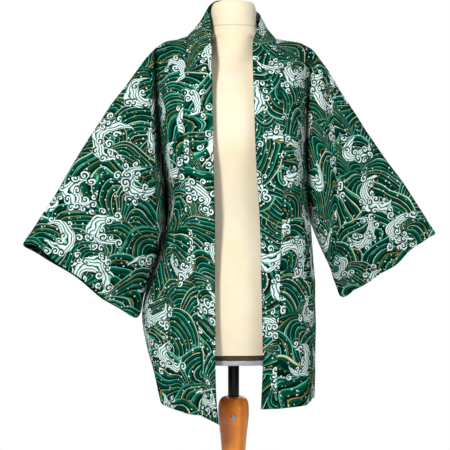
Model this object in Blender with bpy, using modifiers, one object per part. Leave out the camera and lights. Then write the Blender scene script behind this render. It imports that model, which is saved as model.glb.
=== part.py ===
"""Haori jacket hanging open on a limbless dress form with a turned wooden stand.

Metres, +Z up. The front faces -Y and +X is the wearer's left. The origin is on the floor, under the middle of
the whole object. Tables give x from the jacket's own middle, which an empty then places.
The jacket is one set of seamed sheets. Every panel is a grid of rows (down) and columns (across) whose edge
points are those of its neighbours, thickened along normals that neighbours share, then parted at the seams.
"""

import math

import bpy
import numpy as np

# ---- driving dimensions ----
CLOTH = 0.0016  # wall of a panel
BAND_CLOTH = 0.0030  # the collar is folded double
BAND_PROUD = 0.0007  # how far the collar stands out of the fronts
SEAM_GAP = 0.0003
JOIN_GAP = 0.0003  # between the stacked parts of the form and stand

YOKE_TOP = 1.4015  # shoulder end of the valley between body and sleeve
YOKE_END = 1.300  # below this height the body is made of level rows
UNDERARM = 1.026
HEM = 0.653  # at the side seams

YOKE_ROWS = 6
ARM_ROWS = 7  # from the yoke to the underarm
SKIRT_ROWS = 9  # from the underarm to the hem
PANEL_COLUMNS = 8  # from the collar seam to the valley, and along each shoulder seam
FLAP_COLUMNS = 4  # from the valley to the sleeve seam
NECKLINE_COLUMNS = 10
SLEEVE_RINGS = 10
BAND_COLUMNS = 3

CENTRE_X = 0.0051  # the jacket's middle, so that the cuffs reach equally far to both sides
FORM_SIDES = 32
FORM_SQUARE = 2.25  # the power of the form's rings, 2 being an ellipse
FORM_SHOULDER = 1.320  # from here up the form's rings are those of its table
FORM_LOW_RINGS = 13
NECK_WIDE = 0.060  # rings narrower than this are round
BOARD_INSET = 0.0030  # of the binding under the cover
COVER_END = 0.7517
BINDING_END = 0.7413
PLATE_END = 0.7310
TUBE_RADIUS = 0.0120
TUBE_IN_COLUMN = 0.6540
SCREW_RADIUS = 0.0060
SCREW_DEPTH = 0.0022
SCREW_HEIGHT = 0.6130
LEG_RADIUS = 0.0140
LEG_TOP = 0.3100
LEG_ROOT = 0.0290  # the column's radius where the legs meet it
LEG_SPREAD = 0.2400
ANKLE = 0.0300  # below this height a leg is upright
LEGS = 3

# How the rows across a panel bend, as shares of their length or of their depth from front to back.
SIDE_ROUND = 0.62
SIDE_FLAT = 0.55
FRONT_FALL = 0.10
FRONT_LEAN = 0.35  # into the valley beside a sleeve
BACK_LEAN = 0.25

FLAP_FLAT = 0.98  # how far down its seam a sleeve's flap is flat again

# How the yoke leaves the shoulder seam and reaches its level last row.
FRONT_REACH = (0.125, 0.070)  # at the neck and at the valley
BACK_REACH = (0.110, 0.070)
FRONT_PITCH = 0.10
BACK_PITCH = 0.12
NAPE_PITCH = 0.75  # more under the neck
NAPE_SHORT = 0.45
YOKE_DROP = 0.13


def table(columns, *rows):
    """Rows of numbers as one array for each named column."""
    return dict(zip(columns.split(), np.array(rows, float).T))


# The body by height at the side seam, r for the wearer's right (-X) and l for the left: the collar seam, the
# fold edge of the collar, the side line (the valley above the underarm), and the middle of the back.
BODY = table(
    "height  seam_r   seam_l  seam_y  fold_r   fold_l  fold_y  side_r   side_l  front_y  rear_y  back_y",
    (1.300, -0.1035, 0.0960, -0.109, -0.0465, 0.0385, -0.119, -0.1665, 0.1560, -0.026, 0.040, 0.105),
    (1.250, -0.1062, 0.1000, -0.117, -0.0455, 0.0400, -0.127, -0.1645, 0.1530, -0.028, 0.043, 0.110),
    (1.200, -0.1060, 0.1002, -0.121, -0.0443, 0.0415, -0.131, -0.1600, 0.1525, -0.027, 0.044, 0.112),
    (1.120, -0.1025, 0.0990, -0.123, -0.0425, 0.0450, -0.133, -0.1490, 0.1550, -0.018, 0.036, 0.112),
    (1.026, -0.0960, 0.0960, -0.124, -0.0408, 0.0510, -0.134, -0.1440, 0.1640, 0.010, 0.010, 0.116),
    (0.950, -0.0885, 0.0933, -0.126, -0.0405, 0.0530, -0.135, -0.1640, 0.1700, 0.010, 0.010, 0.124),
    (0.885, -0.0780, 0.0920, -0.129, -0.0402, 0.0545, -0.137, -0.1900, 0.1750, 0.010, 0.010, 0.132),
    (0.830, -0.0755, 0.0890, -0.131, -0.0400, 0.0555, -0.138, -0.1990, 0.1750, 0.010, 0.010, 0.137),
    (0.760, -0.0690, 0.0862, -0.134, -0.0398, 0.0568, -0.135, -0.1895, 0.1740, 0.010, 0.010, 0.140),
    (0.700, -0.0655, 0.0857, -0.136, -0.0370, 0.0550, -0.121, -0.1730, 0.1730, 0.010, 0.010, 0.141),
    (0.653, -0.0700, 0.0857, -0.137, -0.0318, 0.0530, -0.106, -0.1617, 0.1710, 0.010, 0.010, 0.141),
)

# How far each line of the hem hangs below the side seams.
HEM_DROP = {"seam_r": 0.019, "seam_l": 0.006, "fold_r": 0.044, "fold_l": 0.012, "back": -0.060}

# The collar round the neck, from the right front at the yoke's end to the left one: its seam and its fold edge.
NECK = table(
    "seam_x seam_y seam_z  fold_x fold_y fold_z",
    (-0.1035, -0.109, 1.300, -0.0465, -0.119, 1.300),
    (-0.1018, -0.088, 1.354, -0.0476, -0.101, 1.360),
    (-0.1012, -0.052, 1.400, -0.0485, -0.070, 1.418),
    (-0.1000, 0.000, 1.428, -0.0515, -0.030, 1.464),
    (-0.0830, 0.046, 1.443, -0.0555, 0.012, 1.494),
    (-0.0470, 0.079, 1.454, -0.0360, 0.056, 1.515),
    (0.0000, 0.090, 1.457, 0.0020, 0.069, 1.513),
    (0.0430, 0.079, 1.451, 0.0370, 0.055, 1.499),
    (0.0730, 0.046, 1.438, 0.0560, 0.012, 1.475),
    (0.0870, 0.000, 1.424, 0.0515, -0.030, 1.447),
    (0.0890, -0.052, 1.394, 0.0385, -0.070, 1.406),
    (0.0910, -0.088, 1.352, 0.0370, -0.101, 1.356),
    (0.0960, -0.109, 1.300, 0.0385, -0.119, 1.300),
)
NECK_ENDS = (3, 9)  # the rows, counted from 0, where the shoulder seams start

# Each shoulder seam from the neck to the valley, and the valley itself down to the yoke's end.
SHOULDER = {
    "r": table("x z", (-0.1000, 1.4280), (-0.1250, 1.4210), (-0.1480, 1.4165), (-0.1720, 1.4015)),
    "l": table("x z", (0.0870, 1.4240), (0.1120, 1.4180), (0.1400, 1.4140), (0.1660, 1.4015)),
}
VALLEY = table(
    "height  side_r   side_l  front_y  rear_y",
    (1.4015, -0.1720, 0.1660, 0.000, 0.000),
    (1.3850, -0.1715, 0.1680, -0.010, 0.012),
    (1.3550, -0.1700, 0.1660, -0.019, 0.026),
    (1.3000, -0.1665, 0.1560, -0.026, 0.040),
)

# Each sleeve from its seam to the cuff: the fold on top, the seam underneath, and half its thickness.
SLEEVE = {
    "r": table(
        "along top_x top_y top_z  under_x under_y under_z  thick",
        (0.00, -0.1890, 0.000, 1.3830, -0.1960, 0.000, 0.9260, 0.040),
        (0.27, -0.2662, -0.005, 1.2774, -0.1965, -0.006, 0.9060, 0.038),
        (0.52, -0.3304, -0.010, 1.1784, -0.1985, -0.014, 0.8860, 0.032),
        (0.75, -0.3860, -0.015, 1.0840, -0.2015, -0.022, 0.8620, 0.025),
        (1.00, -0.4500, -0.020, 0.9836, -0.2075, -0.030, 0.8280, 0.018),
    ),
    "l": table(
        "along top_x top_y top_z  under_x under_y under_z  thick",
        (0.00, 0.1965, 0.000, 1.3590, 0.2120, 0.045, 0.9250, 0.040),
        (0.25, 0.2555, 0.012, 1.2694, 0.2190, 0.070, 0.9060, 0.038),
        (0.41, 0.2938, 0.020, 1.2149, 0.2240, 0.092, 0.8930, 0.034),
        (0.69, 0.3641, 0.034, 1.1179, 0.2330, 0.130, 0.8750, 0.026),
        (1.00, 0.4399, 0.050, 1.0078, 0.2450, 0.168, 0.8580, 0.018),
    ),
}

# The largest folds: on which panel they lie, where across it (0 to 1) and how wide, between which heights they
# fade in, and how far they stand out (or in, below 0).
FOLDS = {
    "front_r": table(
        "across width upper lower out",
        (0.30, 0.10, 1.34, 1.05, -0.004),
        (0.62, 0.12, 0.95, 0.66, 0.006),
        (0.86, 0.09, 0.90, 0.66, -0.005),
    ),
    "front_l": table(
        "across width upper lower out",
        (0.12, 0.10, 0.92, 0.66, -0.006),
        (0.45, 0.12, 0.90, 0.66, 0.006),
        (0.80, 0.10, 1.10, 0.66, -0.004),
    ),
    "back": table(
        "across width upper lower out",
        (0.20, 0.05, 1.20, 0.70, 0.007),
        (0.34, 0.05, 1.25, 0.70, -0.006),
        (0.50, 0.06, 1.10, 0.70, 0.006),
        (0.66, 0.05, 1.25, 0.70, -0.006),
        (0.81, 0.05, 1.20, 0.70, 0.007),
    ),
}

# The padded form by height: half its width, and its depth before and behind the axis.
FORM = table(
    "height  wide   front   behind",
    (0.7517, 0.1460, 0.1050, 0.1080),
    (0.8000, 0.1520, 0.1120, 0.1180),
    (0.8700, 0.1540, 0.1140, 0.1220),
    (0.9500, 0.1450, 0.1060, 0.1120),
    (1.0400, 0.1230, 0.0920, 0.0960),
    (1.1200, 0.1260, 0.0980, 0.0980),
    (1.2000, 0.1350, 0.1110, 0.1030),
    (1.2600, 0.1380, 0.1060, 0.1000),
    (1.3200, 0.1420, 0.0860, 0.0880),
    (1.3500, 0.1440, 0.0640, 0.0700),
    (1.3700, 0.1440, 0.0470, 0.0540),
    (1.3850, 0.1435, 0.0340, 0.0390),
    (1.3950, 0.1420, 0.0260, 0.0285),
    (1.4020, 0.1380, 0.0220, 0.0230),
    (1.4080, 0.1320, 0.0195, 0.0190),
    (1.4112, 0.1230, 0.0190, 0.0180),
    (1.4138, 0.1080, 0.0200, 0.0190),
    (1.4160, 0.0920, 0.0240, 0.0250),
    (1.4195, 0.0780, 0.0330, 0.0350),
    (1.4260, 0.0630, 0.0420, 0.0440),
    (1.4380, 0.0525, 0.0475, 0.0475),
    (1.4520, 0.0486, 0.0486, 0.0486),
    (1.4700, 0.0483, 0.0483, 0.0483),
    (1.4860, 0.0476, 0.0476, 0.0476),
    (1.4940, 0.0445, 0.0445, 0.0445),
    (1.4985, 0.0390, 0.0390, 0.0390),
    (1.5000, 0.0310, 0.0310, 0.0310),
)
FORM_AXIS_X = -0.002

# The turned column from the top down.
COLUMN = table(
    "radius height",
    (0.0150, 0.6540),
    (0.0215, 0.6530),
    (0.0265, 0.6500),
    (0.0305, 0.6435),
    (0.0325, 0.6340),
    (0.0330, 0.6230),
    (0.0325, 0.6080),
    (0.0300, 0.5850),
    (0.0275, 0.5620),
    (0.0256, 0.5350),
    (0.0240, 0.4900),
    (0.0230, 0.4400),
    (0.0235, 0.3900),
    (0.0265, 0.3600),
    (LEG_ROOT, 0.3400),
    (LEG_ROOT, 0.2750),
    (0.0270, 0.2620),
    (0.0200, 0.2530),
    (0.0120, 0.2500),
)


# ---- curves ----
def slopes(at, values, level):
    """Slopes of a smooth curve through values, flat at each peak and step where level is set."""
    gap = np.diff(at)[:, None]
    step = np.diff(values, axis=0) / gap
    inner = (step[1:] * gap[:-1] + step[:-1] * gap[1:]) / (gap[1:] + gap[:-1])
    if level:
        inner = np.where(step[1:] * step[:-1] > 0, inner, 0)
    return np.vstack([step[:1], inner, step[-1:]])


def through(at, values, where, level=False):
    """The smooth curve through values, read at where."""
    at, where = np.asarray(at, float), np.atleast_1d(np.asarray(where, float))
    values = np.asarray(values, float).reshape(len(at), -1)
    if at[0] > at[-1]:
        at, values = at[::-1], values[::-1]
    tangents = slopes(at, values, level)
    i = np.clip(np.searchsorted(at, where) - 1, 0, len(at) - 2)
    width = (at[i + 1] - at[i])[:, None]
    t = np.clip((where - at[i])[:, None] / width, 0, 1)
    return hermite(values[i], tangents[i] * width, values[i + 1], tangents[i + 1] * width, t)


def hermite(start, leaving, end, arriving, t):
    return (
        start * (1 + 2 * t) * (1 - t) ** 2
        + leaving * t * (1 - t) ** 2
        + end * t**2 * (3 - 2 * t)
        + arriving * t**2 * (t - 1)
    )


def bezier(a, b, c, d, steps):
    t = np.linspace(0, 1, steps + 1)[:, None]
    return a * (1 - t) ** 3 + 3 * b * t * (1 - t) ** 2 + 3 * c * t**2 * (1 - t) + d * t**3


def column(source, name, where, key="height"):
    return through(source[key], source[name], where, level=True)[:, 0]


def ease(t):
    t = np.clip(t, 0, 1)
    return t * t * (3 - 2 * t)


def out_of(side):
    """The direction out of the body on a side."""
    return -1.0 if side == "r" else 1.0


# ---- rows of the body ----
def hang(height):
    """How much of the hem's drop a row has."""
    return ((YOKE_END - height) / (YOKE_END - HEM)) ** 1.5


def seam_point(side, height):
    x, y = column(BODY, "seam_" + side, height)[0], column(BODY, "seam_y", height)[0]
    return np.array([x, y, height - HEM_DROP["seam_" + side] * hang(height)])


def fold_point(side, height):
    x, y = column(BODY, "fold_" + side, height)[0], column(BODY, "fold_y", height)[0]
    return np.array([x, y, height - HEM_DROP["fold_" + side] * hang(height)])


def side_point(side, height, face):
    source = BODY if height <= YOKE_END else VALLEY
    return np.array([column(source, "side_" + side, height)[0], column(source, face, height)[0], height])


def arm_share(height):
    """1 where the side line is the valley beside a sleeve, 0 below the underarm."""
    return float(ease((height - UNDERARM) / 0.05))


def front_row(side, height):
    """From the collar seam to the side line."""
    start, end = seam_point(side, height), side_point(side, height, "front_y")
    deep, lean = end[1] - start[1], FRONT_LEAN * arm_share(height) * out_of(side)
    leaving = start + [SIDE_ROUND * (end[0] - start[0]), FRONT_FALL * deep, 0]
    arriving = end - [lean * deep / 2, SIDE_FLAT * deep, 0]
    return bezier(start, leaving, arriving, end, PANEL_COLUMNS)


def back_half(side, height):
    """From the side line to the middle of the back."""
    start = side_point(side, height, "rear_y")
    end = np.array([0, column(BODY, "back_y", height)[0], height - HEM_DROP["back"] * hang(height)])
    deep, lean = end[1] - start[1], BACK_LEAN * arm_share(height) * out_of(side)
    leaving = start + [lean * deep / 2, SIDE_ROUND * deep, 0]
    arriving = end - [SIDE_FLAT * (end[0] - start[0]), 0, 0]
    return bezier(start, leaving, arriving, end, PANEL_COLUMNS + NECKLINE_COLUMNS // 2)


def back_row(height):
    right, left = back_half("r", height), back_half("l", height)
    return np.vstack([right, left[-2::-1]])


def arm_heights():
    """Rows beside the sleeve, closer together towards the underarm."""
    left = (1 - np.linspace(0, 1, ARM_ROWS + 1)) ** 1.35
    return UNDERARM + (YOKE_END - UNDERARM) * left


def level_heights():
    skirt = np.linspace(UNDERARM, HEM, SKIRT_ROWS + 1)
    return np.concatenate([arm_heights()[1:], skirt[1:]])


# ---- the yoke ----
def neck_points(name, places):
    stations = np.arange(len(NECK["seam_x"]))
    return through(stations, np.stack([NECK[name + axis] for axis in ("_x", "_y", "_z")], 1), places)


def yoke_places(side):
    """Places along the neck's curves of the yoke rows, from the shoulder seam down."""
    down = np.linspace(0, 1, YOKE_ROWS + 1) * NECK_ENDS[0]
    return NECK_ENDS[0] - down if side == "r" else NECK_ENDS[1] + down


def neckline_places():
    return np.linspace(NECK_ENDS[0], NECK_ENDS[1], NECKLINE_COLUMNS + 1)


def shoulder_seam(side):
    """From the neck to the valley."""
    line = SHOULDER[side]
    x = np.linspace(line["x"][0], line["x"][-1], PANEL_COLUMNS + 1)
    return np.stack([x, np.zeros_like(x), through(line["x"], line["z"], x)[:, 0]], 1)


def valley(side, face):
    fall = np.linspace(0, 1, YOKE_ROWS + 1) ** 1.4
    heights = YOKE_TOP - (YOKE_TOP - YOKE_END) * fall
    return np.array([side_point(side, h, face) if h < YOKE_TOP else shoulder_seam(side)[-1] for h in heights])


def yoke(top, leaving, level, first, last):
    """Rows from a top edge to a level row, with the first and last columns as given."""
    arriving = np.tile([0, 0, -YOKE_DROP], (len(top), 1))
    t = np.linspace(0, 1, YOKE_ROWS + 1)[:, None, None]
    rows = hermite(top[None], leaving[None], level[None], arriving[None], t)
    across = np.linspace(0, 1, len(top))[None, :, None]
    mend_first, mend_last = first - rows[:, 0], last - rows[:, -1]
    return rows + mend_first[:, None] * (1 - across) ** 3 + mend_last[:, None] * across**3


def front_yoke(side):
    top, level = shoulder_seam(side), front_row(side, YOKE_END)
    reach = np.linspace(*FRONT_REACH, len(top))
    leaving = np.stack([0 * reach, -reach, -FRONT_PITCH * reach], 1)
    first = neck_points("seam", yoke_places(side))
    return yoke(top, leaving, level, first, valley(side, "front_y"))


def back_yoke():
    right, left = shoulder_seam("r")[::-1], shoulder_seam("l")
    neckline = neck_points("seam", neckline_places())
    top = np.vstack([right, neckline[1:-1], left])
    shoulder = np.linspace(*BACK_REACH, PANEL_COLUMNS + 1)
    reach = np.concatenate([shoulder[::-1], np.full(NECKLINE_COLUMNS - 1, BACK_REACH[0]), shoulder])
    nape = np.zeros(len(top))
    nape[PANEL_COLUMNS : -PANEL_COLUMNS] = np.sin(np.linspace(0, math.pi, NECKLINE_COLUMNS + 1)) ** 0.5
    along, down = 1 - NAPE_SHORT * nape, BACK_PITCH + NAPE_PITCH * nape
    leaving = np.stack([0 * reach, reach * along, -reach * down], 1)
    return yoke(top, leaving, back_row(YOKE_END), valley("r", "rear_y"), valley("l", "rear_y"))


def add_folds(rows, folds):
    """Stands the rows out along soft upright folds."""
    across = np.linspace(0, 1, rows.shape[1])[None, :]
    z = rows[:, :, 2]
    out = rows * [1, 1, 0]
    out /= np.linalg.norm(out, axis=2, keepdims=True)
    for at, width, upper, lower, depth in zip(*folds.values()):
        share = ease((upper - z) / (upper - lower)) * np.exp(-(((across - at) / width) ** 2))
        rows = rows + out * (depth * share * ease(4 * across) * ease(4 - 4 * across))[:, :, None]
    return rows


def front_body(side):
    skirt = [front_row(side, h) for h in level_heights()]
    return add_folds(np.concatenate([front_yoke(side), skirt]), FOLDS["front_" + side])


def back_body():
    skirt = [back_row(h) for h in level_heights()]
    return add_folds(np.concatenate([back_yoke(), skirt]), FOLDS["back"])


# ---- sleeves ----
def arm_angles(side):
    """Round each ring of the sleeve, from its top fold to the seam underneath, level with the valley's rows."""
    heights = [p[2] for p in valley(side, "front_y")]
    heights += list(arm_heights()[1:])
    share = (heights[0] - np.array(heights)) / (heights[0] - heights[-1])
    return np.arccos(1 - 2 * share)


def sleeve_line(side, name, along):
    source = SLEEVE[side]
    points = np.stack([source[name + axis] for axis in ("_x", "_y", "_z")], 1)
    return through(source["along"], points, along)


def ring_frame(side, along):
    """Middle, half length and front direction of a ring, and which way the sleeve runs there."""
    top, under = sleeve_line(side, "top", along)[0], sleeve_line(side, "under", along)[0]
    step = 0.02
    before, after = max(along - step, 0), min(along + step, 1)
    ran = sum(sleeve_line(side, n, after)[0] - sleeve_line(side, n, before)[0] for n in ("top", "under"))
    ran /= np.linalg.norm(ran)
    front = np.cross(ran, top - under) * out_of(side)
    return (top + under) / 2, (top - under) / 2, front / np.linalg.norm(front), ran


def half_ring(side, along, face):
    """Front (-1) or rear (1) half of a ring, from the top down."""
    middle, half, front, _ = ring_frame(side, along)
    thick = column(SLEEVE[side], "thick", along, "along")[0]
    a = arm_angles(side)[:, None]
    return middle + np.cos(a) * half - face * np.sin(a) * thick * front


def sleeve_grid(side):
    """Rings round the sleeve, front half first, from the seam to the cuff."""
    rings = []
    for along in np.linspace(0, 1, SLEEVE_RINGS + 1):
        front, rear = half_ring(side, along, -1), half_ring(side, along, 1)
        rings.append(np.vstack([front, rear[-2:0:-1]]))
    return np.array(rings)


def flap(side, face, valley_line):
    """The part of a panel between the valley and the sleeve seam, its rows from the shoulder down."""
    seam = half_ring(side, 0, face)
    _, _, front, ran = ring_frame(side, 0)
    rows = []
    for i, (start, end) in enumerate(zip(valley_line, seam)):
        down = min(1, i / (len(seam) - 1) / FLAP_FLAT)
        bulge = math.sqrt(4 * down * (1 - down))
        length = np.linalg.norm(end - start)
        straight = (end - start) / length
        leaving = straight * 0.16 - front * face * 0.40 * bulge
        arriving = (straight * (1 - bulge / 2) + ran * bulge / 2) / 3
        rows.append(bezier(start, start + leaving * length, end - arriving * length, end, FLAP_COLUMNS))
    return np.array(rows)


# ---- sheets ----
def key_of(co):
    """The 0.01 mm cell that a point is in. The cells' walls miss round numbers, which tables are full of."""
    return tuple(np.floor(np.asarray(co) * 1e5 + 0.37))


class Sheet:
    """A named sheet of cloth: its points and its faces, outer side out."""

    def __init__(self, name, thick, proud=0.0):
        self.name, self.thick, self.proud = name, thick, proud
        self.points, self.faces, self.index = [], [], {}

    def point(self, co):
        key = key_of(co)
        if key not in self.index:
            self.index[key] = len(self.points)
            self.points.append(np.array(co, float))
        return self.index[key]

    def add(self, grid, outward=True, closed=False):
        """Faces of a grid of rows, wound so that the outer side is out."""
        ids = [[self.point(co) for co in row + ([row[0]] if closed else [])] for row in map(list, grid)]
        for upper, lower in zip(ids, ids[1:]):
            for i in range(len(upper) - 1):
                face = [upper[i], lower[i], lower[i + 1], upper[i + 1]]
                face = [v for k, v in enumerate(face) if v != face[k - 1]]
                if len(face) > 2:
                    self.faces.append(face if outward else face[::-1])
        return self

    def face_normals(self):
        for face in self.faces:
            p = [self.points[v] for v in face]
            if len(p) == 4:
                yield face, np.cross(p[2] - p[0], p[3] - p[1])
            else:
                yield face, np.cross(p[1] - p[0], p[2] - p[0])

    def rim(self):
        """The edges with a face on one side only, each with that face."""
        edges = {edge: face for face in self.faces for edge in zip(face, face[1:] + face[:1])}
        return [(a, b, face) for (a, b), face in edges.items() if (b, a) not in edges]


def shared_normals(sheets):
    """A normal for every point, halfway between those of the sheets that meet there."""
    total = {}
    for sheet in sheets:
        own = np.zeros((len(sheet.points), 3))
        for face, normal in sheet.face_normals():
            own[face] += normal
        own /= np.linalg.norm(own, axis=1, keepdims=True)
        for co, normal in zip(sheet.points, own):
            total[key_of(co)] = total.get(key_of(co), 0) + normal
    return {key: n / np.linalg.norm(n) for key, n in total.items()}


def seam_shift(sheet):
    """How each edge point moves into its own sheet, so that neighbours lie a seam gap apart."""
    points = np.array(sheet.points)
    shift = np.zeros_like(points)
    for a, b, face in sheet.rim():
        along = (points[b] - points[a]) / np.linalg.norm(points[b] - points[a])
        inward = points[face].mean(0) - (points[a] + points[b]) / 2
        inward -= along * inward.dot(along)
        shift[[a, b]] += inward / np.linalg.norm(inward)
    size = np.linalg.norm(shift, axis=1, keepdims=True)
    return shift * SEAM_GAP / np.maximum(size, 1.0) ** 2


def thicken(sheet, normal_at):
    """The sheet as a closed wall."""
    normals = np.array([normal_at[key_of(p)] for p in sheet.points])
    middle = np.array(sheet.points) + seam_shift(sheet)
    outer, inner = middle + normals * sheet.proud, middle - normals * (sheet.thick - sheet.proud)
    count = len(outer)
    faces = list(sheet.faces) + [[v + count for v in face[::-1]] for face in sheet.faces]
    for a, b, _ in sheet.rim():
        # both neighbours split the wall of a seam along the same diagonal
        if tuple(sheet.points[a]) < tuple(sheet.points[b]):
            faces += [[b, a, b + count], [a, a + count, b + count]]
        else:
            faces += [[b, a, a + count], [b, a + count, b + count]]
    return np.vstack([outer, inner]), faces


def jacket_sheets():
    sheets = {}
    back = Sheet("back", CLOTH)
    rear = back_body()
    back.add(rear, outward=False)
    arm_rows = YOKE_ROWS + ARM_ROWS + 1
    for side, name in (("r", "right"), ("l", "left")):
        right = side == "r"
        body = front_body(side)
        front = Sheet("front_" + name, CLOTH)
        front.add(body, outward=not right)
        front.add(flap(side, -1, body[:arm_rows, -1]), outward=not right)
        back.add(flap(side, 1, rear[:arm_rows, 0 if right else -1]), outward=right)
        sleeve = Sheet("sleeve_" + name, CLOTH)
        sleeve.add(sleeve_grid(side), outward=right, closed=True)
        sheets[front.name], sheets[sleeve.name] = front, sleeve
    sheets["back"] = back
    sheets["collar"] = collar_sheet()
    return list(sheets.values())


def collar_sheet():
    """From the right front's hem round the neck to the left front's hem."""
    seam, fold = [], []
    for h in level_heights()[::-1]:
        seam.append(seam_point("r", h))
        fold.append(fold_point("r", h))
    places = np.concatenate([yoke_places("r")[::-1], neckline_places()[1:-1], yoke_places("l")])
    seam += list(neck_points("seam", places))
    fold += list(neck_points("fold", places))
    for h in level_heights():
        seam.append(seam_point("l", h))
        fold.append(fold_point("l", h))
    share = np.linspace(0, 1, BAND_COLUMNS + 1)[None, :, None]
    grid = np.array(seam)[:, None] * (1 - share) + np.array(fold)[:, None] * share
    return Sheet("collar", BAND_CLOTH, BAND_PROUD).add(grid, outward=False)


# ---- Blender objects ----
def clear_scene():
    for obj in list(bpy.data.objects):
        bpy.data.objects.remove(obj, do_unlink=True)


def new_collection(name):
    collection = bpy.data.collections.new(name)
    bpy.context.scene.collection.children.link(collection)
    return collection


def new_material(name, colour, roughness, metallic=0.0):
    material = bpy.data.materials.new(name)
    material.use_nodes = True
    shader = material.node_tree.nodes["Principled BSDF"]
    shader.inputs["Base Color"].default_value = (*colour, 1)
    shader.inputs["Roughness"].default_value = roughness
    shader.inputs["Metallic"].default_value = metallic
    return material


def add_mesh(collection, name, points, faces, material):
    mesh = bpy.data.meshes.new(name)
    mesh.from_pydata([tuple(p) for p in points], [], faces)
    mesh.shade_smooth()
    mesh.materials.append(material)
    obj = bpy.data.objects.new(name, mesh)
    collection.objects.link(obj)
    return obj


def build_jacket(collection, cloth, band):
    sheets = jacket_sheets()
    normal_at = shared_normals(sheets)
    for side in "rl":
        # the two sheets that meet at an underarm part there to the front and the back, and are thick downwards
        normal_at[key_of(side_point(side, UNDERARM, "front_y"))] = np.array([0, 0, -1])
    for sheet in sheets:
        points, faces = thicken(sheet, normal_at)
        add_mesh(collection, sheet.name, points, faces, band if sheet.name == "collar" else cloth)


def form_ring(height, grow=0.0):
    """A level ring of the form, a little squarer than an ellipse below the neck."""
    wide, front, behind = (column(FORM, n, height)[0] + grow for n in ("wide", "front", "behind"))
    power = 2 / (2 if wide < NECK_WIDE else FORM_SQUARE)
    ring = []
    for k in range(FORM_SIDES):
        turn = 2 * math.pi * k / FORM_SIDES
        c, s = math.cos(turn), math.sin(turn)
        x = wide * math.copysign(abs(c) ** power, c)
        y = (behind if s > 0 else front) * math.copysign(abs(s) ** power, s)
        ring.append((FORM_AXIS_X + x, y, height))
    return ring


def loft(collection, name, rings, material):
    """A closed solid through rings, from the bottom up."""
    sides = len(rings[0])
    points = [p for ring in rings for p in ring]
    faces = [list(range(sides))[::-1], [len(points) - sides + k for k in range(sides)]]
    for r in range(len(rings) - 1):
        for k in range(sides):
            a, b = r * sides + k, r * sides + (k + 1) % sides
            faces.append([a, b, b + sides, a + sides])
    return add_mesh(collection, name, points, faces, material)


def build_form(collection, jersey, binding, board):
    low = np.linspace(COVER_END, FORM_SHOULDER, FORM_LOW_RINGS)
    heights = np.concatenate([low, FORM["height"][FORM["height"] > FORM_SHOULDER]])
    loft(collection, "form_torso", [form_ring(h) for h in heights], jersey)
    add_board(collection, "form_binding", BINDING_END, COVER_END, BOARD_INSET, binding)
    add_board(collection, "form_plate", PLATE_END, BINDING_END, BOARD_INSET / 3, board)


def add_board(collection, name, low, high, inset, material):
    """A level slab with the outline of the cover's end."""
    outline = form_ring(COVER_END, -inset)
    rings = [[(x, y, z) for x, y, _ in outline] for z in (low, high - JOIN_GAP)]
    loft(collection, name, rings, material)


def add_turned(collection, name, profile, material, sides=FORM_SIDES):
    """A turned solid from (radius, height) pairs, top down, closed on its axis."""
    mesh = bpy.data.meshes.new(name)
    points = [(0, 0, profile[0][1])] + [(r, 0, z) for r, z in profile] + [(0, 0, profile[-1][1])]
    mesh.from_pydata(points, [(i, i + 1) for i in range(len(points) - 1)], [])
    mesh.materials.append(material)
    obj = bpy.data.objects.new(name, mesh)
    obj.location.x = FORM_AXIS_X
    collection.objects.link(obj)
    screw = obj.modifiers.new("Turn", "SCREW")
    screw.steps = screw.render_steps = sides
    screw.use_merge_vertices = True
    screw.merge_threshold = 0.0001
    screw.use_smooth_shade = True
    return obj


def build_stand(collection, black, wood, steel):
    tube = [(TUBE_RADIUS, PLATE_END - JOIN_GAP), (TUBE_RADIUS, TUBE_IN_COLUMN + JOIN_GAP)]
    add_turned(collection, "stand_tube", tube, black, sides=16)
    add_turned(collection, "stand_column", list(zip(COLUMN["radius"], COLUMN["height"])), wood, sides=28)
    add_screw(collection, steel)
    for k in range(LEGS):
        add_leg(collection, k, wood)


def add_screw(collection, steel):
    """A low round head on the front of the column."""
    radius = through(COLUMN["height"], COLUMN["radius"], SCREW_HEIGHT)[0, 0]
    bpy.ops.mesh.primitive_cylinder_add(vertices=20, radius=SCREW_RADIUS, depth=SCREW_DEPTH)
    screw = bpy.context.object
    screw.name = "stand_screw"
    screw.rotation_euler.x = math.pi / 2
    screw.location = (FORM_AXIS_X, -(radius + SCREW_DEPTH / 2 + JOIN_GAP), SCREW_HEIGHT)
    screw.data.materials.append(steel)
    bpy.context.collection.objects.unlink(screw)
    collection.objects.link(screw)
    bevel = screw.modifiers.new("Round", "BEVEL")
    bevel.width = SCREW_DEPTH / 4
    bevel.segments = 2


def add_leg(collection, k, wood):
    """A plain round leg from the column down to the floor, cut level under its foot."""
    turn = 2 * math.pi * k / LEGS
    start = LEG_ROOT + JOIN_GAP
    hip, shoulder = start + LEG_RADIUS, LEG_SPREAD * 2 / 3
    shin = np.array([[hip, LEG_TOP], [shoulder, LEG_TOP], [LEG_SPREAD, LEG_TOP / 2], [LEG_SPREAD, ANKLE]])
    path = np.vstack([[start, LEG_TOP], bezier(*shin, 9), [LEG_SPREAD, 0]])
    curve = bpy.data.curves.new("stand_leg_%d" % (k + 1), "CURVE")
    curve.dimensions = "3D"
    curve.bevel_depth = LEG_RADIUS
    curve.bevel_resolution = 2
    curve.use_fill_caps = True
    spline = curve.splines.new("POLY")
    spline.points.add(len(path) - 1)
    for point, (r, z) in zip(spline.points, path):
        point.co = (math.cos(turn) * r, math.sin(turn) * r, z, 1)
    curve.materials.append(wood)
    leg = bpy.data.objects.new(curve.name, curve)
    leg.location.x = FORM_AXIS_X
    collection.objects.link(leg)


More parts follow.
